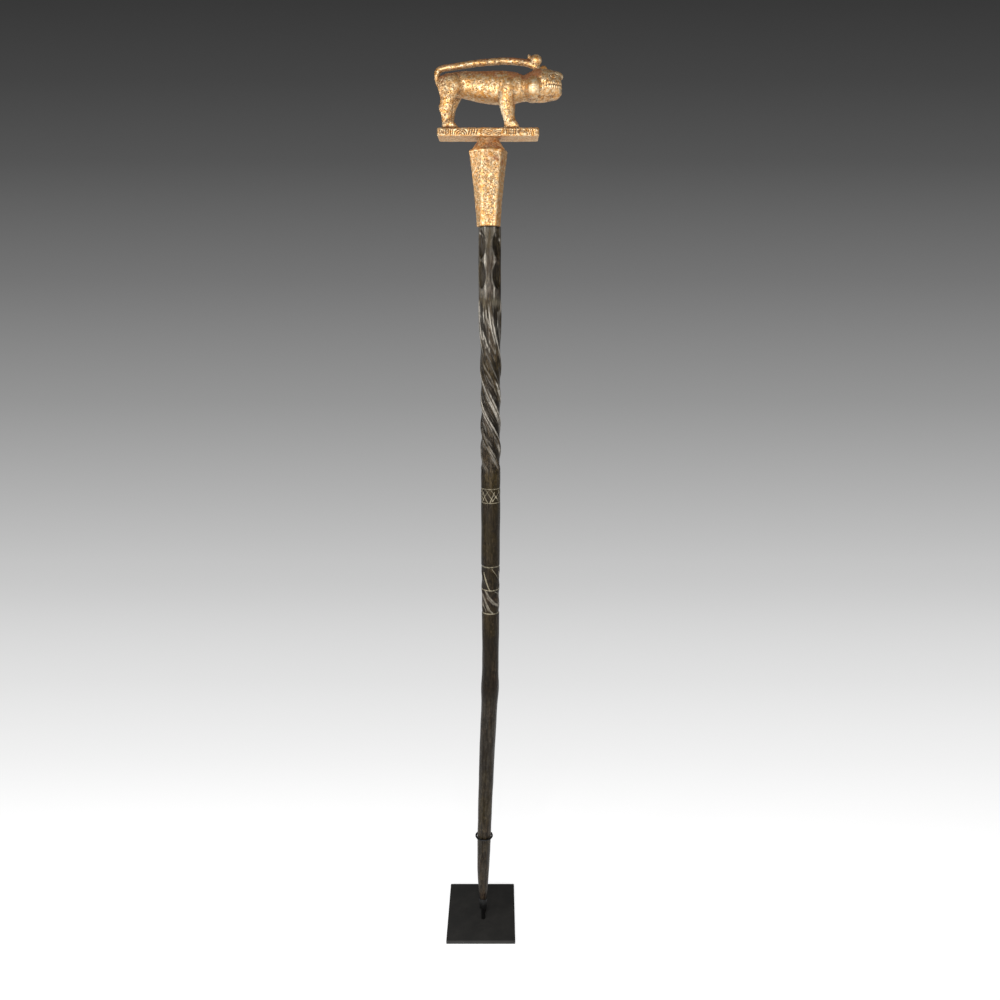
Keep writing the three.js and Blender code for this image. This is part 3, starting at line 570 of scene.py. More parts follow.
def ridge_edges(height, angle):
    """Painted highlight along the edges between a scoop and the ridge in front of it."""
    layers = []
    for side in (-1, 1):
        away = wrapped(angle + SCOOPS["shift"] - side * TURN / 8) * side / SCOOPS["half_angle"]
        for share in SCOOPS["heights"]:
            up = (height - share * SHAFT_LENGTH) / SCOOPS["half_height"]
            off = np.hypot(away, up) - 1
            layers.append(np.exp(-((off / 0.1) ** 2)) * smoothstep(-away, 0.05, 0.4))
    return max_of(layers)


def flute_depth(height, flute_angle):
    """Broad hollow flutes between narrow ridges, in the twist and in the band of strokes."""
    wave = np.abs(np.sin(TWIST["flutes"] * flute_angle / 2))
    hollow = smoothstep(wave, 0.13, 0.85)
    twist = TWIST["depth"] * between(height, TWIST["bottom"], TWIST["top"], TWIST["fade"])
    strokes = STROKES["depth"] * between(height, STROKES["bottom"], STROKES["top"], STROKES["fade"])
    return (twist + strokes) * hollow


def line_share(distance, width):
    """1 in the middle of a knife cut of that width, and 0 at its edges."""
    return np.clip(1 - 2 * np.abs(distance) / width, 0, 1)


def ring_lines(height):
    """The three rings round the band of strokes and the two that border the crossed lines."""
    shares = (STROKES["bottom"], STROKES["middle"], STROKES["top"], LATTICE["bottom"], LATTICE["top"])
    return max_of([line_share(height - share * SHAFT_LENGTH, width)
                   for share, width in zip(shares, (2.1, 2.2, 1.9, 1.3, 1.6))])


def max_of(layers):
    """The largest of several layers, point by point."""
    whole = layers[0]
    for layer in layers[1:]:
        whole = np.maximum(whole, layer)
    return whole


def knife_line(height, angle, start, end, width):
    """A straight cut round the pole between two places, each an angle in degrees and a height."""
    middle_radius = 17
    a, b = (np.array([math.radians(place[0]) * middle_radius, place[1]]) for place in (start, end))
    step = b - a
    across = wrapped(angle - (a[0] + b[0]) / 2 / middle_radius) * middle_radius + (a[0] + b[0]) / 2
    offset_x, offset_y = across - a[0], height - a[1]
    t = np.clip((offset_x * step[0] + offset_y * step[1]) / (step @ step), 0, 1)
    return line_share(np.hypot(offset_x - t * step[0], offset_y - t * step[1]), width)


def crossed_lines(height, angle):
    """Slanting cuts both ways between the two borders, as uneven as a knife leaves them."""
    random = np.random.default_rng(11)
    low, high = LATTICE["bottom"] * SHAFT_LENGTH, LATTICE["top"] * SHAFT_LENGTH
    layers = []
    for i in range(LATTICE["cuts"]):
        for slant in (-1, 1):
            middle = 360 * (i + random.uniform(-0.4, 0.4)) / LATTICE["cuts"]
            half = slant * random.uniform(13, 34)
            ends = random.uniform(0, 6, 2)
            layers.append(knife_line(height, angle, (middle - half, low + ends[0]), (middle + half, high - ends[1]),
                                     random.uniform(1.3, 2.3)))
    return max_of(layers)


def stroke_lines(height, angle):
    """Slanting strokes between the rings, in three groups round the pole."""
    low, middle, high = (STROKES[name] * SHAFT_LENGTH for name in ("bottom", "middle", "top"))
    strokes = [((-50, high - 12), (-6, middle), 3.2), ((10, high - 4), (60, high - 24), 1.2),
               ((-34, middle - 2), (-14, middle - 14), 7), ((-14, middle - 14), (24, middle - 26), 7.5),
               ((24, middle - 26), (60, middle - 32), 6), ((-56, middle - 10), (-30, middle - 27), 7),
               ((-30, middle - 27), (-12, middle - 38), 7), ((-12, middle - 38), (14, low + 2), 3.6),
               ((-60, middle - 24), (-34, low + 4), 2.4), ((30, middle - 3), (60, middle - 8), 2)]
    layers = []
    for turn in (0, 120, 240):
        for start, end, width in strokes:
            layers.append(knife_line(height, angle, (start[0] + turn, start[1]), (end[0] + turn, end[1]), width))
    return np.minimum(1.7 * max_of(layers), 1)


def upright_ridges(height, angle):
    """Near the top of the twist the flutes still stand almost upright: pale lines on their ridges as wear and painted
    highlight, and a painted highlight at the top of the pole.
    """
    ridges = [((-66, SHAFT_LENGTH - 9), (-20, SHAFT_LENGTH - 22), 5), ((-22, 1214), (-26, 1150), 3), ((-5, 1216), (-6, 1142), 3.6), ((27, 1190), (30, 1140), 2),
              ((-40, 1210), (-42, 1165), 5), ((-14, 1222), (75, 1152), 4.4), ((-80, 1171), (-5, 1126), 4.4)]
    layers = []
    for turn in (0, 90, 180, 270):
        for start, end, width in ridges:
            layers.append(knife_line(height, angle, (start[0] + turn, start[1]), (end[0] + turn, end[1]), width))
    return max_of(layers)


print("Deepest scoop in mm:", round(float(np.max(scoop_depth(np.array([0.981 * SHAFT_LENGTH]), np.pi / 4))), 2))


# %% Build the pole
def shaft_rows():
    """Heights of the pole's rings of points, close together where it is carved."""
    rows = [0.0]
    while rows[-1] < SHAFT_LENGTH:
        share = rows[-1] / SHAFT_LENGTH
        if STROKES["bottom"] - 0.006 < share < STROKES["top"] + 0.006:
            step = 1.1
        elif LATTICE["bottom"] - 0.004 < share < LATTICE["top"] + 0.004:
            step = 0.9
        elif share > TWIST["bottom"] - 0.01:
            step = 1.6
        else:
            step = 5
        rows.append(rows[-1] + step)
    rows[-1] = SHAFT_LENGTH
    return np.array(rows)


def build_shaft():
    """The pole's fine skin, and how cut, pale or dark each of its points is: pale as wear and painted highlight, dark
    as painted shade and uneven colour.
    """
    sides = 160
    height = shaft_rows()[:, None]
    flute_angle = TURN * np.arange(sides)[None, :] / sides
    angle = flute_angle + flute_turn(height)
    straight = np.stack(np.broadcast_arrays(
        17 * np.sin(angle), -17 * np.cos(angle), height + 0 * angle), axis=-1).reshape(-1, 3)
    turning = np.stack(np.broadcast_arrays(
        17 * np.sin(flute_angle), -17 * np.cos(flute_angle), height + 0 * angle), axis=-1).reshape(-1, 3)
    chips = rough(turning, 11, stretch=5).reshape(angle.shape)
    dents = rough(turning, 4.5, stretch=6).reshape(angle.shape)
    scratches = rough(turning, 2.8, stretch=7).reshape(angle.shape)
    patches = rough(straight, 30, stretch=2).reshape(angle.shape)
    all_strokes = stroke_lines(height, angle) * (0.2 + 0.5 * smoothstep(scratches, -0.5, 0.3))
    above = height > STROKES["middle"] * SHAFT_LENGTH
    strokes = all_strokes * np.where(above, 1, 0.25)
    rough_ring = 0.16 * np.exp(-((height - TWIST["top"] * SHAFT_LENGTH) / 7) ** 2) * smoothstep(dents, -0.4, 0.3)
    uneven = 0.5 + 0.5 * smoothstep(dents, -0.35, 0.1)
    rings_cut = ring_lines(height) + 0 * angle
    cuts = max_of([rings_cut * uneven, crossed_lines(height, angle) * uneven, strokes, rough_ring])
    fluted = between(height, TWIST["bottom"], TWIST["top"], TWIST["fade"])
    above_end = height - TWIST["bottom"] * SHAFT_LENGTH
    fluted = fluted * (0.3 + 0.7 * smoothstep(above_end, 8, 40))
    slope = wrapped(flute_angle * TWIST["flutes"]) / TWIST["flutes"] * 17.5 + 2.2 * chips
    off_ridge = np.abs(slope)
    groove = fluted * np.clip(1 - off_ridge / 1.5, 0, 1) * smoothstep(patches, -0.2, 0.1)
    scoops = scoop_depth(height, angle)
    depth = scoops + flute_depth(height, flute_angle) + 0.8 * groove
    tooled = smoothstep(height, STROKES["top"] * SHAFT_LENGTH, LATTICE["top"] * SHAFT_LENGTH)
    depth = depth + 0.9 * cuts + 0.45 * (chips + 0.5) + 0.3 * dents + 0.55 * tooled * scratches
    radius = shaft_radius(height) - np.maximum(depth, 0)
    x = foot_middle[0] / MM + shaft_middle_x(height) + radius * np.sin(angle)
    y = foot_middle[1] / MM - radius * np.cos(angle)
    z = shaft_low.z / MM + height + 0 * angle
    mesh = mesh_of("shaft_skin", [np.stack([x, y, z], axis=-1) * MM])
    streaks = smoothstep(patches + 0.8 * dents, -0.35, 0.3)
    fine = smoothstep(scratches, -0.35, 0.35)
    # Pale layer, wear and painted highlight: ridge flats and rims towards the light, a band on one side of each twisted
    # ridge, upright lines and a mark at the very top.
    pair = np.exp(-((off_ridge - 2.4) / 1.3) ** 2) * streaks
    wear_and_painted_light = max_of([ridge_flats(height, angle), 0.5 * ridge_edges(height, angle)])
    band = np.exp(-((slope + 4.0) / 3.4) ** 2) * smoothstep(dents + 0.6 * chips, -0.25, 0.3)
    upright = upright_ridges(height, angle)
    lines = fluted * smoothstep(scratches, 0.12, 0.5)
    wear_and_painted_highlight = max_of([0.9 * fluted * pair, 0.75 * fluted * band * fine, wear_and_painted_light * (0.35 + 0.65 * fine), 0.2 * lines,
                     0.8 * upright * smoothstep(dents, -0.5, 0.1) * fine])
    knee = (height - KNEE["height"] * SHAFT_LENGTH) / KNEE["length"]
    # A faint painted highlight below the knee.
    calf = 0.05 * (1 - smoothstep(knee, -1.5, 0)) * smoothstep(dents, -0.6, 0.6)
    # A lighter front ridge between the scoops, painted highlight.
    ridge = 0.13 * smoothstep(height, 1232, 1242) * (1 - np.clip(scoops, 0, 1)) * streaks
    wear_and_painted_highlight = max_of([wear_and_painted_highlight, calf, ridge, 0.5 * all_strokes * ~above])
    wave = np.abs(np.sin(TWIST["flutes"] * flute_angle / 2))
    # Painted shade: dark in the scoops, on one side of each twisted flute and in a line at the top under the finial.
    hollow = 0.8 * np.clip(scoops / 2.5, 0, 1) * (0.55 + 0.45 * smoothstep(-scratches, -0.3, 0.3))
    hollow = np.maximum(hollow, 0.95 * fluted * smoothstep(slope, 1.5, 5) * smoothstep(patches + dents, -0.6, 0.1))
    hollow = np.maximum(hollow, smoothstep(height, SHAFT_LENGTH - 4, SHAFT_LENGTH - 2))
    # Darker from about 935 mm down and lighter again near the foot, in patches.
    lower_darkening = (0.42 + 0.36 * smoothstep(patches, -0.3, 0.3)) * (1 - smoothstep(height, 875, 935))
    lower_darkening = lower_darkening * (1 - 0.6 * smoothstep(-height, -300, -180))
    hollow = max_of([hollow * (1 - wear_and_painted_highlight), 0.75 * np.exp(-(knee * 0.9) ** 2), lower_darkening * (1 - wear_and_painted_highlight)])
    for name, values in (("cut", cuts), ("wear_and_painted_highlight", wear_and_painted_highlight), ("hollow", hollow)):
        layer = mesh.attributes.new(name, "FLOAT", "POINT")
        layer.data.foreach_set("value", np.broadcast_to(values, angle.shape).astype(np.float32).ravel())
    return mesh


finish_piece("carved_pole", build_shaft(), dark_wood, "shaft")

# %% [markdown]
# ## The finial's forms
# The head was carved from one block: a faceted neck, a collar, a board and the animal on it. Here each
# form is a row of rings, and the next step melts them into one skin. Places on the animal are shares of
# its length, width and height, so its pose holds at any size.

# %% Sizes of the finial, in millimetres, and where it stands
NECK = {"height": 122, "foot": 41.8, "rim": 67, "flare": 1.38, "bevel": 2}
NECK_CORNERS = [(-38, -19), (39, 41), (93, 101), (142, 161), (219, 221), (270, 281)]
COLLAR = {"height": 17.4, "foot": 57, "top": 35}
BOARD = {"length": 166.5, "depth": 57, "thickness": 13.1, "corner": 2.5}
ANIMAL = {"length": 211.6, "height": 110, "width": 50, "start": -88.6, "paw_margin": 4, "sink": 1.5}
TAIL_DIAMETER = 10.8
finial_low, finial_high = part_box("finial")
FINIAL_X = foot_middle[0] / MM + float(shaft_middle_x(SHAFT_LENGTH)) - 2
FINIAL_Y = foot_middle[1] / MM
RIM = finial_low.z / MM + NECK["height"]
BOARD_LOW = RIM + COLLAR["height"]
BOARD_TOP = BOARD_LOW + BOARD["thickness"]


def finial_points(x, y, z):
    """Points from their distance to the finial's axis and their height, in millimetres."""
    return np.stack(np.broadcast_arrays(FINIAL_X + x, FINIAL_Y + y, z + 0.0), axis=-1)


def animal_points(along, across, up):
    """Points on the animal from shares of its length, width and height."""
    return finial_points(ANIMAL["start"] + np.asarray(along) * ANIMAL["length"],
                         np.asarray(across) * ANIMAL["width"], BOARD_TOP + np.asarray(up) * ANIMAL["height"])


def span(x=0.0, y=0.0, z=0.0):
    """Directions with a length, as rows of three numbers."""
    return np.stack(np.broadcast_arrays(*(np.asarray(v, float) for v in (x, y, z))), axis=-1)


print("Board top in mm:", round(BOARD_TOP, 1))


# %% Neck, collar and board
def neck_shape():
    """Six uneven facets that turn a little from foot to rim."""
    share = np.append(np.linspace(0, 1, 24), 1)
    width = NECK["foot"] + (NECK["rim"] - NECK["foot"]) * share ** NECK["flare"]
    width[-1] -= 2 * NECK["bevel"]
    level = finial_low.z / MM + share * (NECK["height"] - NECK["bevel"])
    level[-1] = RIM
    corners = np.radians(np.array(NECK_CORNERS))
    angle = corners[:, 0] + share[:, None] * (corners[:, 1] - corners[:, 0])
    reach = width[:, None] / 2
    return finial_points(np.sin(angle) * reach, -np.cos(angle) * reach, level[:, None])


def collar_shape():
    """A cone with rounded shoulders whose ends reach into the neck and the board."""
    rise = np.array([-0.2, 0, 0.35, 0.75, 1, 1.2])
    narrow = np.array([0, 0, 0.42, 0.86, 1, 1])
    radius = (COLLAR["foot"] + narrow * (COLLAR["top"] - COLLAR["foot"])) / 2
    centres = finial_points(0, 0, RIM + rise * COLLAR["height"])
    return rings(centres, span(x=radius), span(y=radius), 2, 64)


def board_shape():
    """The flat board, with its four corners cut off."""
    long, deep, cut = BOARD["length"] / 2, BOARD["depth"] / 2, BOARD["corner"]
    corners = [(long, deep - cut), (long - cut, deep), (cut - long, deep), (-long, deep - cut),
               (-long, cut - deep), (cut - long, -deep), (long - cut, -deep), (long, cut - deep)]
    x, y = np.array(corners).T
    return np.stack([finial_points(x, y, BOARD_LOW), finial_points(x, y, BOARD_TOP)])


# %% Body, legs, paws and tail of the animal
BODY = [
    (0.028, 0.7, 0.58, 0.3), (0.045, 0.735, 0.5, 0.58), (0.088, 0.768, 0.455, 0.78),
    (0.15, 0.79, 0.45, 0.88), (0.206, 0.802, 0.45, 0.91), (0.282, 0.807, 0.42, 0.93),
    (0.357, 0.809, 0.388, 0.96), (0.433, 0.813, 0.368, 0.98), (0.513, 0.815, 0.354, 1),
    (0.589, 0.805, 0.36, 0.98), (0.627, 0.795, 0.37, 0.94), (0.664, 0.775, 0.39, 0.88),
    (0.692, 0.757, 0.4, 0.84), (0.74, 0.8, 0.404, 0.92), (0.783, 0.836, 0.395, 1.02),
    (0.82, 0.839, 0.392, 1.06), (0.858, 0.835, 0.394, 1.06), (0.891, 0.829, 0.405, 1.02),
    (0.924, 0.812, 0.42, 0.94), (0.948, 0.795, 0.428, 0.86), (0.968, 0.775, 0.45, 0.74),
    (0.98, 0.74, 0.49, 0.56),
]
HIND_LEG = [
    (0, 0.098, 0.076, 0.28), (0.12, 0.095, 0.068, 0.27), (0.19, 0.093, 0.076, 0.28),
    (0.28, 0.09, 0.098, 0.3), (0.36, 0.101, 0.105, 0.32), (0.43, 0.112, 0.122, 0.35),
    (0.53, 0.12, 0.166, 0.4), (0.62, 0.125, 0.184, 0.4), (0.7, 0.128, 0.14, 0.3), (0.75, 0.13, 0.06, 0.12),
]
FRONT_LEG = [
    (0, 0.582, 0.08, 0.28), (0.12, 0.576, 0.08, 0.27), (0.23, 0.562, 0.093, 0.28),
    (0.33, 0.555, 0.106, 0.3), (0.43, 0.557, 0.11, 0.34), (0.54, 0.565, 0.112, 0.38),
    (0.63, 0.572, 0.1, 0.34), (0.7, 0.576, 0.05, 0.14),
]
PAW = [(-0.03, 0.06, 0.24), (0, 0.13, 0.3), (0.03, 0.13, 0.34), (0.056, 0.095, 0.34), (0.074, 0.05, 0.26)]
TAIL = [
    (0.07, 0.55), (0.046, 0.62), (0.028, 0.7), (0.025, 0.785), (0.05, 0.84), (0.128, 0.866),
    (0.206, 0.889), (0.282, 0.91), (0.359, 0.927), (0.435, 0.94), (0.55, 0.952), (0.627, 0.945),
    (0.702, 0.93), (0.765, 0.895), (0.808, 0.845),
]
SIDES = ((-1, 0.0), (1, 0.02))
SHANK_EXTRA = 0.012


def body_shape():
    """Body, neck and head in one form, from the rump to the face."""
    at = np.linspace(BODY[0][0], BODY[-1][0], 170)
    back, belly, width = smooth_curve(BODY, at).T
    centres = animal_points(at, 0, (back + belly) / 2)
    up = span(z=(back - belly) * ANIMAL["height"] / 2)
    return rings(centres, span(y=width * ANIMAL["width"] / 2), up, 2.25, 72)


def leg_side(stations, side):
    """How far a leg's middle is from the animal's middle, in millimetres."""
    return side * ((BOARD["depth"] - stations[0][3] * ANIMAL["width"]) / 2 - ANIMAL["paw_margin"])


def leg_shape(stations, side, shift):
    """A leg from the board up into the body. The near shanks are stouter towards the head."""
    up = np.linspace(0, stations[-1][0], 70)
    at, long, wide = smooth_curve(stations, up).T
    if side < 0:
        extra = SHANK_EXTRA * (1 - smoothstep(up, 0.2, 0.45))
        at, long = at + extra / 2, long + extra
    centres = animal_points(at + shift, 0, up)
    centres[:, 1] += leg_side(stations, side)
    centres[0, 2] -= ANIMAL["sink"]
    return rings(centres, span(x=long * ANIMAL["length"] / 2), span(y=wide * ANIMAL["width"] / 2), 2.5, 48)


def paw_shape(stations, side, shift):
    """A broad paw that reaches forward from the foot of a leg."""
    ahead = np.linspace(PAW[0][0], PAW[-1][0], 30)
    high, wide = smooth_curve(PAW, ahead).T
    centres = animal_points(stations[0][1] + shift + ahead, 0, high / 2)
    centres[:, 1] += leg_side(stations, side)
    centres[:, 2] -= ANIMAL["sink"] / 2
    up = span(z=(high * ANIMAL["height"] + ANIMAL["sink"]) / 2)
    return rings(centres, span(y=wide * ANIMAL["width"] / 2), up, 2.6, 48)


def tail_shape():
    """The tail rises from the rump, bends forward over the back and comes down on the head."""
    course = animal_points(*np.array([(at, 0, up) for at, up in TAIL]).T)
    stretch = np.append(0, np.cumsum(np.linalg.norm(np.diff(course, axis=0), axis=1)))
    at = np.linspace(0, stretch[-1], 200)
    centres = smooth_curve(np.column_stack([stretch, course]), at)
    ahead = np.gradient(centres, axis=0)
    ahead /= np.linalg.norm(ahead, axis=1)[:, None]
    radius = TAIL_DIAMETER / 2 * (0.95 + 0.12 * at / stretch[-1])
    up = np.cross(ahead, [0, 1, 0]) * radius[:, None]
    return rings(centres, up, span(y=radius), 2, 36)


print("Body stations:", len(BODY))


# %% Tuft, ears and the lumps of the face
def lump(place, halves, turn=0.0, fullness=1.0):
    """A rounded lump: its place and half sizes are shares of the animal's own."""
    tilt = np.linspace(-0.49, 0.49, 30) * math.pi
    long, wide, high = np.array(halves) * (ANIMAL["length"], ANIMAL["width"], ANIMAL["height"])
    upward = np.array([math.sin(turn), 0, math.cos(turn)]) * high
    forward = np.array([math.cos(turn), 0, -math.sin(turn)]) * long
    centres = animal_points(*place) + np.sin(tilt)[:, None] * upward
    reach = np.cos(tilt) ** fullness
    return rings(centres, reach[:, None] * forward, span(y=reach * wide), 2 / fullness, 40)


def spike(stations, across, lean):
    """A small upright cone from stations that hold its place, its half length and half width."""
    rise = np.linspace(0, 1, 16)
    places = np.linspace(0, 1, len(stations))
    at, up, long, wide = smooth_curve(np.column_stack([places, np.array(stations)]), rise).T
    along = span(x=long * ANIMAL["length"], z=lean * long * ANIMAL["length"])
    return rings(animal_points(at, across, up), along, span(y=wide * ANIMAL["width"]), 2, 28)


def tuft_shapes():
    """The curl that ends the tail, with a small upturned tip behind it."""
    tip = [(0.765, 0.95, 0.018, 0.076), (0.742, 0.985, 0.016, 0.068), (0.732, 1.02, 0.012, 0.05),
           (0.729, 1.05, 0.005, 0.02)]
    return [lump((0.787, 0, 0.965), (0.046, 0.164, 0.08), 0.25), spike(tip, 0, 0.4)]


def ear_shapes():
    """The near ear is small and pointed, and the far ear is larger and round."""
    near = [(0.801, 0.8, 0.018, 0.064), (0.801, 0.835, 0.0165, 0.058), (0.801, 0.868, 0.009, 0.034),
            (0.801, 0.887, 0.0025, 0.01)]
    return [spike(near, -0.2, 0), lump((0.847, 0.12, 0.845), (0.033, 0.075, 0.068), 0.1)]


def face_shapes():
    """Brow and nose, heavy lower jaw, full cheeks and eyes."""
    shapes = [lump((0.937, 0, 0.747), (0.0624, 0.34, 0.062), 0.1),
              lump((0.925, 0, 0.506), (0.066, 0.31, 0.0745), -0.12)]
    for side in (-1, 1):
        shapes.append(lump((0.766, 0.27 * side, 0.565), (0.062, 0.35, 0.155), fullness=0.7))
        shapes.append(lump((0.919, 0.37 * side, 0.71), (0.0217, 0.048, 0.0255)))
    return shapes


# %% [markdown]
# ## The mouth
# The jaws are closed on two rows of bared teeth. They follow the muzzle from one corner of the mouth
# round to the other, so places on the mouth are an angle round the muzzle and a height.

# %% The band that the teeth are carved in
MUZZLE = {"corner": 0.86, "front": 0.988, "width": 1.07, "power": 2.4, "chin": 0.543, "lip": 0.641}


def gum_shape():
    """A band round the muzzle, just proud of the head."""
    turn = np.linspace(-1, 1, 81) * math.pi / 2
    c, s = np.cos(turn), np.sin(turn)
    reach = (np.abs(c) ** MUZZLE["power"] + np.abs(s) ** MUZZLE["power"]) ** (-1 / MUZZLE["power"])
    edge = 0.012
    levels = [(MUZZLE["chin"] - edge, 0.96), (MUZZLE["chin"], 1), (MUZZLE["lip"], 1), (MUZZLE["lip"] + edge, 0.96)]
    loops = []
    for level, size in levels:
        at = MUZZLE["corner"] + size * c * reach * (MUZZLE["front"] - MUZZLE["corner"])
        loops.append(animal_points(at, size * s * reach * MUZZLE["width"] / 2, level))
    return np.stack(loops)


# %% [markdown]
# ## Melting the forms into one skin
# A voxel remesh wraps one closed skin of small squares round everything that overlaps, which is what
# carving from one block gives. A few rounds of averaging then soften the joints, as a rasp does.


# %% One skin over the finial
VOXEL = 1.13 * MM


def remeshed(shapes):
    """One closed skin of small squares over all of the shapes."""
    rough_mesh = mesh_of("finial_forms", [shape * MM for shape in shapes])
    holder = bpy.data.objects.new("finial_forms", rough_mesh)
    bpy.context.scene.collection.objects.link(holder)
    melt = holder.modifiers.new("melt", "REMESH")
    melt.mode = "VOXEL"
    melt.voxel_size = VOXEL
    whole = holder.evaluated_get(bpy.context.evaluated_depsgraph_get())
    mesh = bpy.data.meshes.new_from_object(whole)
    bpy.data.objects.remove(holder)
    bpy.data.meshes.remove(rough_mesh)
    return mesh


def read_points(mesh):
    """The points of a mesh, in millimetres."""
    flat = np.empty(3 * len(mesh.vertices))
    mesh.vertices.foreach_get("co", flat)
    return flat.reshape(-1, 3) / MM


def write_points(mesh, points):
    """Puts points in millimetres back into their mesh."""
    mesh.vertices.foreach_set("co", (points * MM).ravel())
    mesh.update()


def normals_of(mesh):
    """The direction out of the skin at each point."""
    flat = np.empty(3 * len(mesh.vertices))
    mesh.vertices.foreach_get("normal", flat)
    return flat.reshape(-1, 3)


def neighbour_pairs(mesh):
    """The two ends of each edge."""
    flat = np.empty(2 * len(mesh.edges), int)
    mesh.edges.foreach_get("vertices", flat)
    return flat.reshape(-1, 2)


def averaged(points, pairs, rounds, share=0.5):
    """Moves each point towards the middle of its neighbours, round after round."""
    both = np.concatenate([pairs, pairs[:, ::-1]])
    count = np.bincount(both[:, 0], minlength=len(points))[:, None]
    for _ in range(rounds):
        total = np.stack([np.bincount(both[:, 0], weights=points[both[:, 1], axis], minlength=len(points))
                          for axis in range(3)], axis=-1)
        points = points + share * (total / count - points)
    return points


finial_forms = [neck_shape(), collar_shape(), board_shape(), body_shape(), tail_shape(), gum_shape()]
for side, shift in SIDES:
    for leg in (HIND_LEG, FRONT_LEG):
        finial_forms.append(leg_shape(leg, side, shift))
        finial_forms.append(paw_shape(leg, side, shift))
finial_forms += [*tuft_shapes(), *ear_shapes(), *face_shapes()]
finial_mesh = remeshed(finial_forms)
print("Finial skin:", len(finial_mesh.vertices), "points from", len(finial_forms), "forms")

# %% [markdown]
# ## Carving the finial
# The last cuts are the knife's and the punch's: the board's edge pattern, teeth, eyes and toes,
# and the punched spots of the coat. Each one is a line or a dot, and the skin sinks along it.


# %% Cuts along lines
def near_line(points, line):
    """Distance from flat points to a line through a few corners."""
    best = np.full(len(points), np.inf)
    for a, b in zip(line[:-1], line[1:]):
        step = b - a
        t = np.clip((points - a) @ step / (step @ step), 0, 1)
        best = np.minimum(best, np.linalg.norm(points - a - t[:, None] * step, axis=1))
    return best


def cut_depth(points, normals, line, width, depth, side):
    """Depth of one V-shaped cut on the faces that look to one side (y is -1 or 1)."""
    line = np.array(line, float)
    low, high = line.min(0) - width, line.max(0) + width
    flat = points[:, [0, 2]]
    near = np.all((flat > low) & (flat < high), axis=1) & (normals[:, 1] * side > 0.25)
    sunk = np.zeros(len(points))
    sunk[near] = depth * np.clip(1 - near_line(flat[near], line) / (width / 2), 0, 1)
    return sunk


def board_place(along, up):
    """A place on the board's edge from shares of its length and thickness."""
    return (FINIAL_X + along * BOARD["length"], BOARD_LOW + up * BOARD["thickness"])


def animal_place(along, up):
    """A place on the animal's flank from shares of its length and height."""
    return (FINIAL_X + ANIMAL["start"] + along * ANIMAL["length"], BOARD_TOP + up * ANIMAL["height"])


def board_lines():
    """Strokes, nested arches, waves and more strokes, as on the board's front edge."""
    low, high = 0.17, 0.83
    lines = [[board_place(x, low), board_place(x, high)] for x in (-0.41, -0.39, -0.366, -0.344)]
    for size in (0.062, 0.038, 0.016):
        turn = np.linspace(0, math.pi, 9)
        lines.append([board_place(-0.27 - size * math.cos(t), low + size / 0.062 * 0.66 * math.sin(t)) for t in turn])
    lines += [[board_place(x - 0.008, low), board_place(x + 0.008, high)] for x in (-0.185, -0.16, -0.135, -0.11)]
    for level in (0.3, 0.5, 0.7):
        turn = np.linspace(0, 2, 17)
        lines.append([board_place(-0.07 + 0.1 * t, level + 0.1 * math.sin(TURN * t)) for t in turn])
    lines += [[board_place(x, low), board_place(x, high)] for x in (0.185, 0.205, 0.225, 0.25, 0.27)]
    lines += [[board_place(0.18, y), board_place(0.275, y)] for y in (0.38, 0.62)]
    lines += [[board_place(x + 0.008, low), board_place(x - 0.008, high)] for x in (0.38, 0.4, 0.42, 0.44)]
    lines += [[board_place(-0.49, y), board_place(0.49, y)] for y in (0.06, 0.94)]
    return lines


print("Lines on the board's edge:", len(board_lines()))


# %% The animal's own cuts
def flank_lines():
    """Lines on both flanks: cheek, jaw, haunch, shoulder and the corners of the mouth."""
    return [
        ([(0.814, 0.44), (0.82, 0.53), (0.821, 0.61), (0.816, 0.67)], 6.5, 0.55),
        ([(0.842, 0.47), (0.845, 0.54), (0.844, 0.6)], 9, 0.8),
        ([(0.868, 0.53), (0.86, 0.575), (0.862, 0.62), (0.872, 0.655)], 2.6, 1.2),
        ([(0.78, 0.44), (0.84, 0.432), (0.9, 0.437), (0.96, 0.47)], 6.0, 0.8),
        ([(0.21, 0.47), (0.225, 0.53), (0.228, 0.6)], 8, 0.9),
        ([(0.625, 0.44), (0.64, 0.53), (0.643, 0.6)], 8, 0.7),
        ([(0.503, 0.4), (0.503, 0.5), (0.51, 0.58)], 7, 0.6),
        ([(0.887, 0.72), (0.905, 0.744), (0.93, 0.747), (0.951, 0.724)], 2.8, 0.9),
        ([(0.888, 0.706), (0.905, 0.68), (0.93, 0.676), (0.95, 0.696)], 2.8, 0.9),
        ([(0.917, 0.711), (0.921, 0.711)], 3.0, 0.7),
    ]


def toe_depth(points):
    """Three short grooves part the toes of each paw."""
    sunk = np.zeros(len(points))
    low = (points[:, 2] > BOARD_TOP + 0.6) & (points[:, 2] < BOARD_TOP + 0.13 * ANIMAL["height"])
    for side, shift in SIDES:
        for leg in (HIND_LEG, FRONT_LEG):
            middle = FINIAL_Y + leg_side(leg, side)
            toes_start = animal_place(leg[0][1] + shift + 0.032, 0)[0]
            ahead = smoothstep(points[:, 0], toes_start, toes_start + 5) * (points[:, 0] < toes_start + 16)
            for toe in (-4, 0, 4):
                sunk += 1.3 * low * ahead * np.clip(1 - np.abs(points[:, 1] - middle - toe) / 1.3, 0, 1)
    return sunk


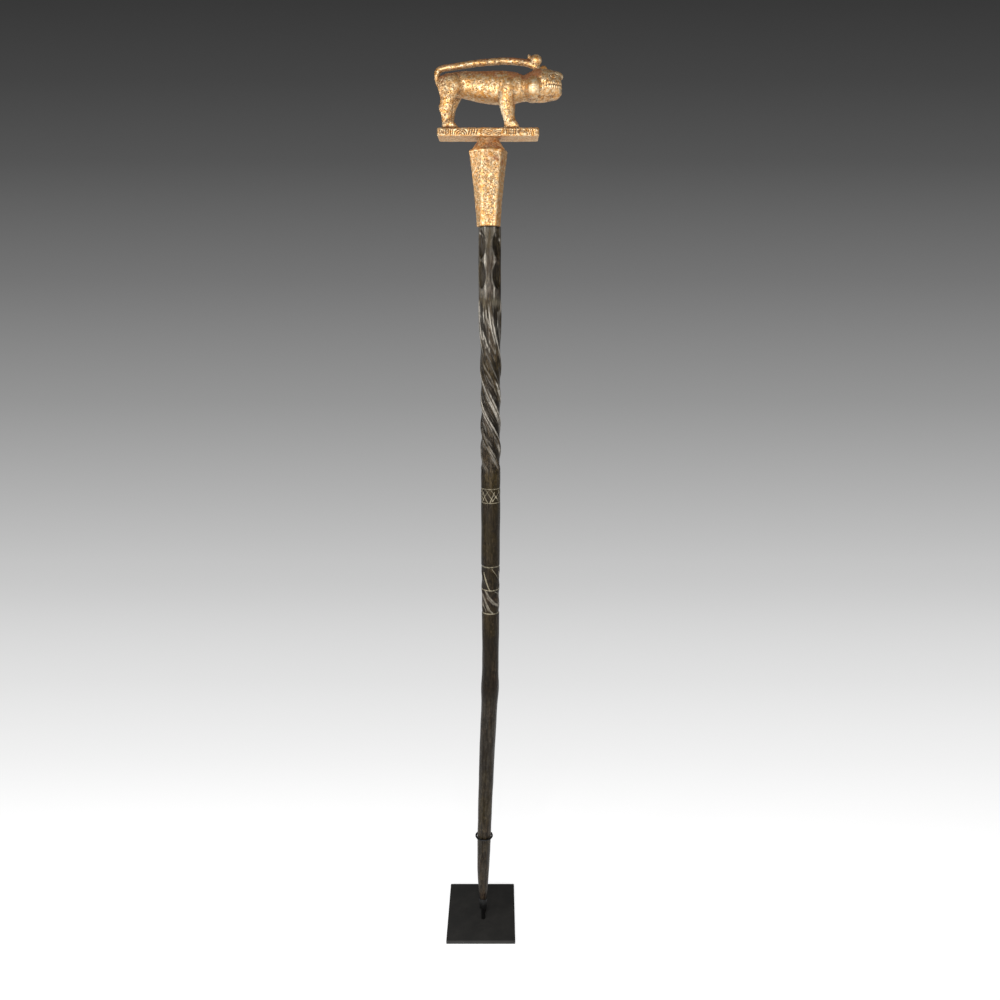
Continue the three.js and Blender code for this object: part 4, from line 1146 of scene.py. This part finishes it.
def teeth_depth(points):
    """Two rows of teeth round the muzzle: sunk between the rows and between the teeth."""
    along = (points[:, 0] - animal_place(MUZZLE["corner"], 0)[0]) / (
        (MUZZLE["front"] - MUZZLE["corner"]) * ANIMAL["length"])
    across = (points[:, 1] - FINIAL_Y) / (MUZZLE["width"] * ANIMAL["width"] / 2)
    up = (points[:, 2] - BOARD_TOP) / ANIMAL["height"]
    round_share = np.arctan2(across, along) / (math.pi / 2)
    outer = np.hypot(across, along) > 0.8
    band = smoothstep(up, MUZZLE["chin"] - 0.012, MUZZLE["chin"] + 0.006)
    band = band * (1 - smoothstep(up, MUZZLE["lip"] - 0.006, MUZZLE["lip"] + 0.012))
    mouth = band * outer * (np.abs(round_share) < 0.93) * (along > -0.05)
    middle = (MUZZLE["lip"] + MUZZLE["chin"]) / 2
    between_rows = np.clip(1 - np.abs(up - middle) * ANIMAL["height"] / 1.3, 0, 1)
    spacing = 0.092
    phase = np.where(up > middle, 0.0, 0.5) + round_share / spacing
    gap = np.abs(phase - np.round(phase)) * spacing * 45
    between_teeth = np.clip(1 - gap / 1.15, 0, 1)
    edges = np.minimum(np.abs(up - MUZZLE["chin"]), np.abs(up - MUZZLE["lip"])) * ANIMAL["height"]
    gum_line = np.clip(1 - edges / 1.4, 0, 1)
    return mouth * (1.2 * np.maximum(between_rows, between_teeth) + 0.7 * gum_line - 0.5)


def punched(points):
    """Small dents from a punch, scattered over the coat and the neck."""
    return 1 - smoothstep(spots(points, 4.6), 0.12, 0.4)


# %% Carve and store how hollow each point is
def handling_and_painted_light_share(points, normals):
    """Wear where hands reach, along the back and the tail, with the back's upward faces also painted as shade; negative
    on the cheeks, crown and mouth, which clears bole and dirt there as painted highlight.
    """
    along = (points[:, 0] - animal_place(0, 0)[0]) / ANIMAL["length"]
    up = (points[:, 2] - BOARD_TOP) / ANIMAL["height"]
    # The back's upward faces: wear and painted shade.
    back = 0.1 * smoothstep(normals[:, 2], 0.1, 0.7) * smoothstep(up, 0.6, 0.7) * (up < 0.85)
    tail = smoothstep(up, 0.84, 0.87) * (1 - smoothstep(along, 0.72, 0.76))
    tail = tail * (0.12 + 0.3 * smoothstep(along, 0.57, 0.6) * smoothstep(normals[:, 2], -0.1, 0.5))
    shoulder = 0.05 * np.exp(-((along - 0.62) / 0.05) ** 2 - ((up - 0.68) / 0.1) ** 2)
    temple = 0.16 * np.exp(-((along - 0.81) / 0.03) ** 2 - ((up - 0.74) / 0.045) ** 2)
    rump = 0.1 * (1 - smoothstep(along, 0.08, 0.16)) * smoothstep(up, 0.35, 0.45) * (up < 0.8)
    # Negative terms: bole and dirt cleared on the cheek, crown and mouth as painted highlight.
    cheek = 0.34 * np.exp(-((along - 0.764) / 0.045) ** 2 - ((up - 0.56) / 0.14) ** 2)
    crown = 0.22 * smoothstep(along, 0.79, 0.84) * smoothstep(up, 0.7, 0.76) * (up < 0.9)
    mouth = 0.3 * smoothstep(along, 0.85, 0.88) * np.exp(-((up - 0.59) / 0.08) ** 4)
    return back + tail + shoulder + temple + rump - cheek - crown - mouth


def painted_highlight_share(points, normals):
    """Painted highlight: paler leaf on the cheeks, face, crown, collar, a band on the flank and the front legs' edges
    that face left.
    """
    along = (points[:, 0] - animal_place(0, 0)[0]) / ANIMAL["length"]
    up = (points[:, 2] - BOARD_TOP) / ANIMAL["height"]
    cheek = 0.085 * np.exp(-((along - 0.765) / 0.046) ** 2 - ((up - 0.56) / 0.13) ** 2)
    flank = 0.03 * np.exp(-((along - 0.42) / 0.08) ** 2 - ((up - 0.55) / 0.06) ** 2)
    leg = (np.abs(along - 0.53) < 0.06) * (up > 0.1) * (up < 0.5)
    # Painted highlight on the front legs' edges that face left, towards the light.
    leg_edge = 0.24 * smoothstep(-normals[:, 0], 0.15, 0.7) * leg
    face = 0.045 * smoothstep(along, 0.84, 0.88) * (up > 0.5)
    crown = 0.03 * smoothstep(up, 0.72, 0.77) * smoothstep(along, 0.78, 0.82)
    collar = 0.05 * (points[:, 2] > RIM + 1) * (points[:, 2] < BOARD_LOW)
    return cheek + flank + leg_edge + np.maximum(face, crown) + collar


def shade_and_soil_share(points):
    """A brown over the leaf: painted shade under the jaw, on the haunch and along the tail, darker on the board, and a
    painted shade line at the neck's foot.
    """
    along = (points[:, 0] - animal_place(0, 0)[0]) / ANIMAL["length"]
    up = (points[:, 2] - BOARD_TOP) / ANIMAL["height"]
    uneven = smoothstep(rough(points, 8), -0.35, 0.35)
    board = 0.6 * smoothstep(points[:, 2], BOARD_LOW + 0.3, BOARD_LOW + 1.5) * (up < 0)
    # Painted shade: darker on the haunch, along the tail, under the jaw and in a line at the neck's foot; darker on the
    # board too.
    tail = 0.62 * smoothstep(up, 0.84, 0.88) * smoothstep(along, 0.1, 0.2) * (1 - smoothstep(along, 0.72, 0.76))
    haunch = 0.22 * (1 - smoothstep(along, 0.14, 0.2)) * (up > 0) * (up < 0.84)
    below = 0.4 * smoothstep(along, 0.68, 0.74) * (1 - smoothstep(up, 0.45, 0.51)) * (up > 0.4)
    foot = 0.8 * (1 - smoothstep(points[:, 2], finial_low.z / MM + 1.2, finial_low.z / MM + 3))
    return (board + tail + haunch + below) * (0.3 + 0.7 * uneven) + foot


def cheek_share(points):
    """1 over and round each cheek, where the forms run softly into each other, and 0 elsewhere."""
    along = (points[:, 0] - animal_place(0.765, 0)[0]) / (0.062 * ANIMAL["length"])
    up = (points[:, 2] - animal_place(0, 0.56)[1]) / (0.17 * ANIMAL["height"])
    return 1 - smoothstep(np.hypot(along, up), 0.8, 1.25)


def carve_finial(mesh):
    """Softens the joints, sinks every cut and records hollows, crests, painted shade and painted highlight for the
    finish.
    """
    pairs = neighbour_pairs(mesh)
    low, high = (np.array(corner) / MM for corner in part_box("finial"))
    points = np.clip(averaged(read_points(mesh), pairs, 3), low, high)
    blended = averaged(points, pairs, 24)
    soft = np.maximum(cheek_share(points), 0.6 * (points[:, 2] < RIM - 4))
    points += soft[:, None] * (blended - points)
    write_points(mesh, points)
    normals = normals_of(mesh)
    animal = smoothstep(points[:, 2], BOARD_TOP + 1, BOARD_TOP + 6)
    face = smoothstep(points[:, 0], animal_place(0.84, 0)[0], animal_place(0.87, 0)[0]) * animal
    neck = 1 - smoothstep(points[:, 2], RIM - 2, RIM)
    sunk = 0.4 * rough(points, 11) + 0.2 * rough(points, 4) + 0.15
    sunk += 0.26 * punched(points) * (0.25 + 0.75 * animal) * (1 - 0.85 * face) * (1 - 0.5 * neck)
    for side in (-1, 1):
        for line in board_lines():
            sunk += cut_depth(points, normals, line, 2.1, 1.1, side) * (1 - animal)
        for corners, width, depth in flank_lines():
            line = [animal_place(*corner) for corner in corners]
            sunk += cut_depth(points, normals, line, width, depth, side) * animal
    sunk += toe_depth(points) + teeth_depth(points)
    carved = points - normals * sunk[:, None]
    carved = np.clip(carved, low, high)
    write_points(mesh, carved)
    # Darker in hollows and cleaner on crests, from how far each point sits below its smoothed neighbours: dirt and
    # painted shade in the hollows, painted highlight on the crests.
    settled = averaged(carved, pairs, 6)
    depth = np.sum((settled - carved) * normals_of(mesh), axis=1)
    crest = np.clip(-depth / 0.6, 0, 0.35) * (1 - 0.5 * neck)
    handling_and_painted_light = handling_and_painted_light_share(carved, normals)
    shade_and_dirt = np.clip(depth / 0.45 + shade_and_soil_share(carved) + np.minimum(handling_and_painted_light, 0), -0.4, 0.85)
    painted_highlight = painted_highlight_share(carved, normals)
    for name, values in (("hollow", shade_and_dirt), ("crest", crest), ("handling_and_painted_light", handling_and_painted_light), ("painted_highlight", painted_highlight)):
        layer = mesh.attributes.new(name, "FLOAT", "POINT")
        layer.data.foreach_set("value", values.astype(np.float32))
    return mesh


finish_piece("gilded_finial", carve_finial(finial_mesh), gold_leaf, "finial")

# %% [markdown]
# ## The display stand
# Four simple steel parts: a plate, a rod welded to it, a ring of wire that steadies the pole and a small
# cup on a stem that takes its foot. They are turned or bent shapes, so a profile swept round makes them.


# %% Turned and bent steel
def turned(profile, middle, sides=48):
    """A shape turned round an upright axis, from its radius at each height in millimetres."""
    radius, height = np.array(profile, float).T
    centres = np.column_stack([np.full(len(height), middle[0]), np.full(len(height), middle[1]), height])
    return rings(centres, span(x=radius), span(y=radius), 2, sides)


def build_plate():
    """A flat plate with its edges taken off, as a file does."""
    (x0, y0, z0), (x1, y1, z1) = (np.array(corner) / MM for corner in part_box("base_plate"))
    loops = []
    for inset, level in [(0.5, z0), (0, z0 + 0.5), (0, z1 - 1), (0.3, z1 - 0.3), (1, z1)]:
        left, right, front, back = x0 + inset, x1 - inset, y0 + inset, y1 - inset
        corners = [(right, back - 1), (right - 1, back), (left + 1, back), (left, back - 1),
                   (left, front + 1), (left + 1, front), (right - 1, front), (right, front + 1)]
        loops.append([(x, y, level) for x, y in corners])
    return mesh_of("plate_skin", [np.array(loops) * MM])


def build_rod():
    """A round rod with a small weld at its foot and a rounded top."""
    low, high = (np.array(corner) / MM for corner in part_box("support_rod"))
    radius = (high[0] - low[0]) / 2
    profile = [(radius, low[2]), (radius, low[2] + 2), (radius, high[2] - 1.2), (radius * 0.86, high[2] - 0.4),
               (radius * 0.6, high[2])]
    return mesh_of("rod_skin", [turned(profile, box_middle("support_rod") / MM) * MM])


def build_ring():
    """A ring of bent wire round the pole."""
    low, high = (np.array(corner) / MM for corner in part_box("support_ring"))
    wire = (high[2] - low[2]) / 2
    middle = (low + high) / 2
    radius = (high[0] - low[0]) / 2 - wire
    turn = TURN * np.arange(96) / 96
    outward = np.column_stack([np.cos(turn), np.sin(turn), np.zeros(96)])
    tight = 0.3
    return rings(middle + outward * (radius - tight), outward * (wire + tight), span(z=np.full(96, wire)), 2, 16)


def closed_ring_mesh(name, loops):
    """A mesh over rings that come back to the first one, with no end faces."""
    rows, sides = loops.shape[:2]
    here = np.arange(rows * sides).reshape(rows, sides)
    beside, ahead = np.roll(here, -1, axis=1), np.roll(here, -1, axis=0)
    quads = np.stack([here, ahead, np.roll(ahead, -1, axis=1), beside], axis=-1).reshape(-1, 4)
    mesh = bpy.data.meshes.new(name)
    mesh.from_pydata((loops.reshape(-1, 3) * MM).tolist(), [], quads.tolist())
    return mesh


def build_cup():
    """A cup on a stem, its lip rounded."""
    low, high = (np.array(corner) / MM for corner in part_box("foot_cup"))
    outer = (high[0] - low[0]) / 2
    bore = outer - 1
    stem, stem_top, floor = 4, low[2] + 27, low[2] + 30
    profile = [(0.01, low[2]), (stem, low[2]), (stem, stem_top), (outer * 0.8, stem_top + 0.3), (outer, stem_top + 1.5),
               (outer, high[2] - 0.4), (outer - 0.3, high[2]), (bore + 0.2, high[2]), (bore, high[2] - 0.4),
               (bore, floor), (0.01, floor)]
    return mesh_of("cup_skin", [turned(profile, foot_middle / MM) * MM])


finish_piece("steel_plate", build_plate(), plate_paint, "base_plate")
finish_piece("steel_rod", build_rod(), wire_paint, "support_rod")
finish_piece("wire_ring", closed_ring_mesh("ring_skin", build_ring()), wire_paint, "support_ring")
finish_piece("steel_cup", build_cup(), wire_paint, "foot_cup")

# %% [markdown]
# ## Backdrop
# A studio sweep: paper that lies on the floor and curves up behind the staff. It glows with painted light,
# darker towards the top, so that the gold stands out. It isn't part of the object.

# %% The sweep
SWEEP = {"front": -4.0, "flat_to": 2.0, "radius": 0.8, "top": 6.0, "half_width": 8.0}
# How bright the glowing paper is along its length: painted light, darker towards the top.
PAPER_TONES = [
    (0.25, "#FFFFFF"), (0.6, "#F2F2F2"), (1.1, "#E2E2E2"), (1.87, "#CECECE"), (2.28, "#C4C4C4"),
    (2.56, "#B8B8B8"), (2.78, "#ADADAD"), (3.0, "#A1A1A1"), (3.2, "#959595"), (3.81, "#747474"),
    (4.37, "#545454"), (4.73, "#444444"), (5.07, "#383838"),
]


def paper_place(stretch):
    """Depth and height of a point on the paper, from its distance along it."""
    bend = SWEEP["radius"] * math.pi / 2
    turn = np.clip((stretch - SWEEP["flat_to"]) / SWEEP["radius"], 0, math.pi / 2)
    depth = np.minimum(stretch, SWEEP["flat_to"]) + SWEEP["radius"] * np.sin(turn)
    height = SWEEP["radius"] * (1 - np.cos(turn)) + np.maximum(0, stretch - SWEEP["flat_to"] - bend)
    return depth, height


def build_sweep():
    """The paper as one long sheet, with its tone stored at each point."""
    stretch = np.linspace(SWEEP["front"], SWEEP["top"], 401)
    depth, height = paper_place(stretch)
    places = [(side * SWEEP["half_width"], y, z) for y, z in zip(depth, height) for side in (-1, 1)]
    faces = [(2 * i, 2 * i + 1, 2 * i + 3, 2 * i + 2) for i in range(len(stretch) - 1)]
    mesh = bpy.data.meshes.new("paper_sweep")
    mesh.from_pydata(places, [], faces)
    stops = np.array([at for at, _ in PAPER_TONES])
    greys = np.array([to_linear(tone)[0] for _, tone in PAPER_TONES])
    tone = mesh.attributes.new("tone", "FLOAT", "POINT")
    tone.data.foreach_set("value", np.repeat(np.interp(stretch, stops, greys), 2).astype(np.float32))
    near = mesh.attributes.new("near", "FLOAT", "POINT")
    near.data.foreach_set("value", np.repeat(1 - smoothstep(stretch, 0.2, 0.8), 2).astype(np.float32))
    return mesh


def paper_material():
    """Paper that glows by its own tone, and near the staff also takes its soft shadow."""
    material, tree = new_material("shaded_paper")
    tone = add_node(tree, "ShaderNodeAttribute", attribute_name="tone").outputs["Fac"]
    near = add_node(tree, "ShaderNodeAttribute", attribute_name="near").outputs["Fac"]
    lit = add_node(tree, "ShaderNodeBsdfDiffuse", {"Color": to_linear("#E8E8E8")})
    nothing = add_node(tree, "ShaderNodeEmission", {"Strength": 0.0})
    shadowed = add_node(tree, "ShaderNodeMixShader", {
        "Fac": near, 1: nothing.outputs["Emission"], 2: lit.outputs["BSDF"]})
    glow_share = add_node(tree, "ShaderNodeMapRange", {"Value": near, "To Min": 1, "To Max": 0.8})
    strength = add_node(tree, "ShaderNodeMath", {
        0: tone, 1: glow_share.outputs["Result"]}, operation="MULTIPLY")
    glow = add_node(tree, "ShaderNodeEmission", {"Strength": strength.outputs["Value"]})
    both = add_node(tree, "ShaderNodeAddShader", {0: glow.outputs["Emission"], 1: shadowed.outputs["Shader"]})
    add_node(tree, "ShaderNodeOutputMaterial", {"Surface": both.outputs["Shader"]})
    return material


sweep_mesh = build_sweep()
sweep_mesh.materials.append(paper_material())
sweep = bpy.data.objects.new("paper_sweep", sweep_mesh)
sweep.visible_diffuse = False
sweep.visible_glossy = False
bpy.context.scene.collection.objects.link(sweep)
print("Sweep reaches", round(SWEEP["top"], 1), "m along")

# %% [markdown]
# ## Light
# Two soft boxes stand near the camera and light the whole front. One at the side draws the left edge of
# the pole, a faint one behind the shoulder lights the left facets of the head, and a fill keeps the right
# side from going black. A low one shows the foot. A pale world, brighter from below like the white paper,
# fills the shadows. Gold and polish show what they mirror, so the boxes are large and soft.


# %% Soft boxes and world
def soft_box(name, place, target, size, power):
    """A square light that looks at a point of the staff."""
    data = bpy.data.lights.new(name, "AREA")
    data.size = size
    data.energy = power
    lamp = bpy.data.objects.new(name, data)
    lamp.location = place
    lamp.rotation_euler = (Vector(target) - Vector(place)).to_track_quat("-Z", "Y").to_euler()
    bpy.context.scene.collection.objects.link(lamp)
    return lamp


soft_box("key_light", (-0.45, -2.4, 1.55), (0, 0, 1.4), 0.8, 20)
soft_box("front_light", (0.15, -2.6, 1.2), (0, 0, 1.2), 0.7, 15)
soft_box("side_light", (-2.0, -1.5, 1.5), (0, 0, 1.2), 0.55, 8)
soft_box("left_light", (-1.7, 0.2, 1.45), (0, 0, 1.42), 0.5, 0.45).data.spread = math.radians(50)
soft_box("fill_light", (1.9, -1.3, 1.5), (0, 0, 1.2), 0.6, 4)
soft_box("low_light", (-1.1, -1.6, 0.5), (0, 0, 0.5), 0.35, 4)
world = bpy.data.worlds.new("studio")
world.use_nodes = True
world.node_tree.nodes.clear()
direction = add_node(world.node_tree, "ShaderNodeSeparateXYZ", {
    "Vector": add_node(world.node_tree, "ShaderNodeTexCoord").outputs["Generated"]})
brightness = add_node(world.node_tree, "ShaderNodeMapRange", {
    "Value": direction.outputs["Z"], "From Min": -0.6, "From Max": 0.15, "To Min": 0.95, "To Max": 0.1})
sky = add_node(world.node_tree, "ShaderNodeBackground", {
    "Color": to_linear("#F4F4F4"), "Strength": brightness.outputs["Result"]})
add_node(world.node_tree, "ShaderNodeOutputWorld", {"Surface": sky.outputs["Background"]})
bpy.context.scene.world = world
print("Lights:", len(bpy.data.lights))
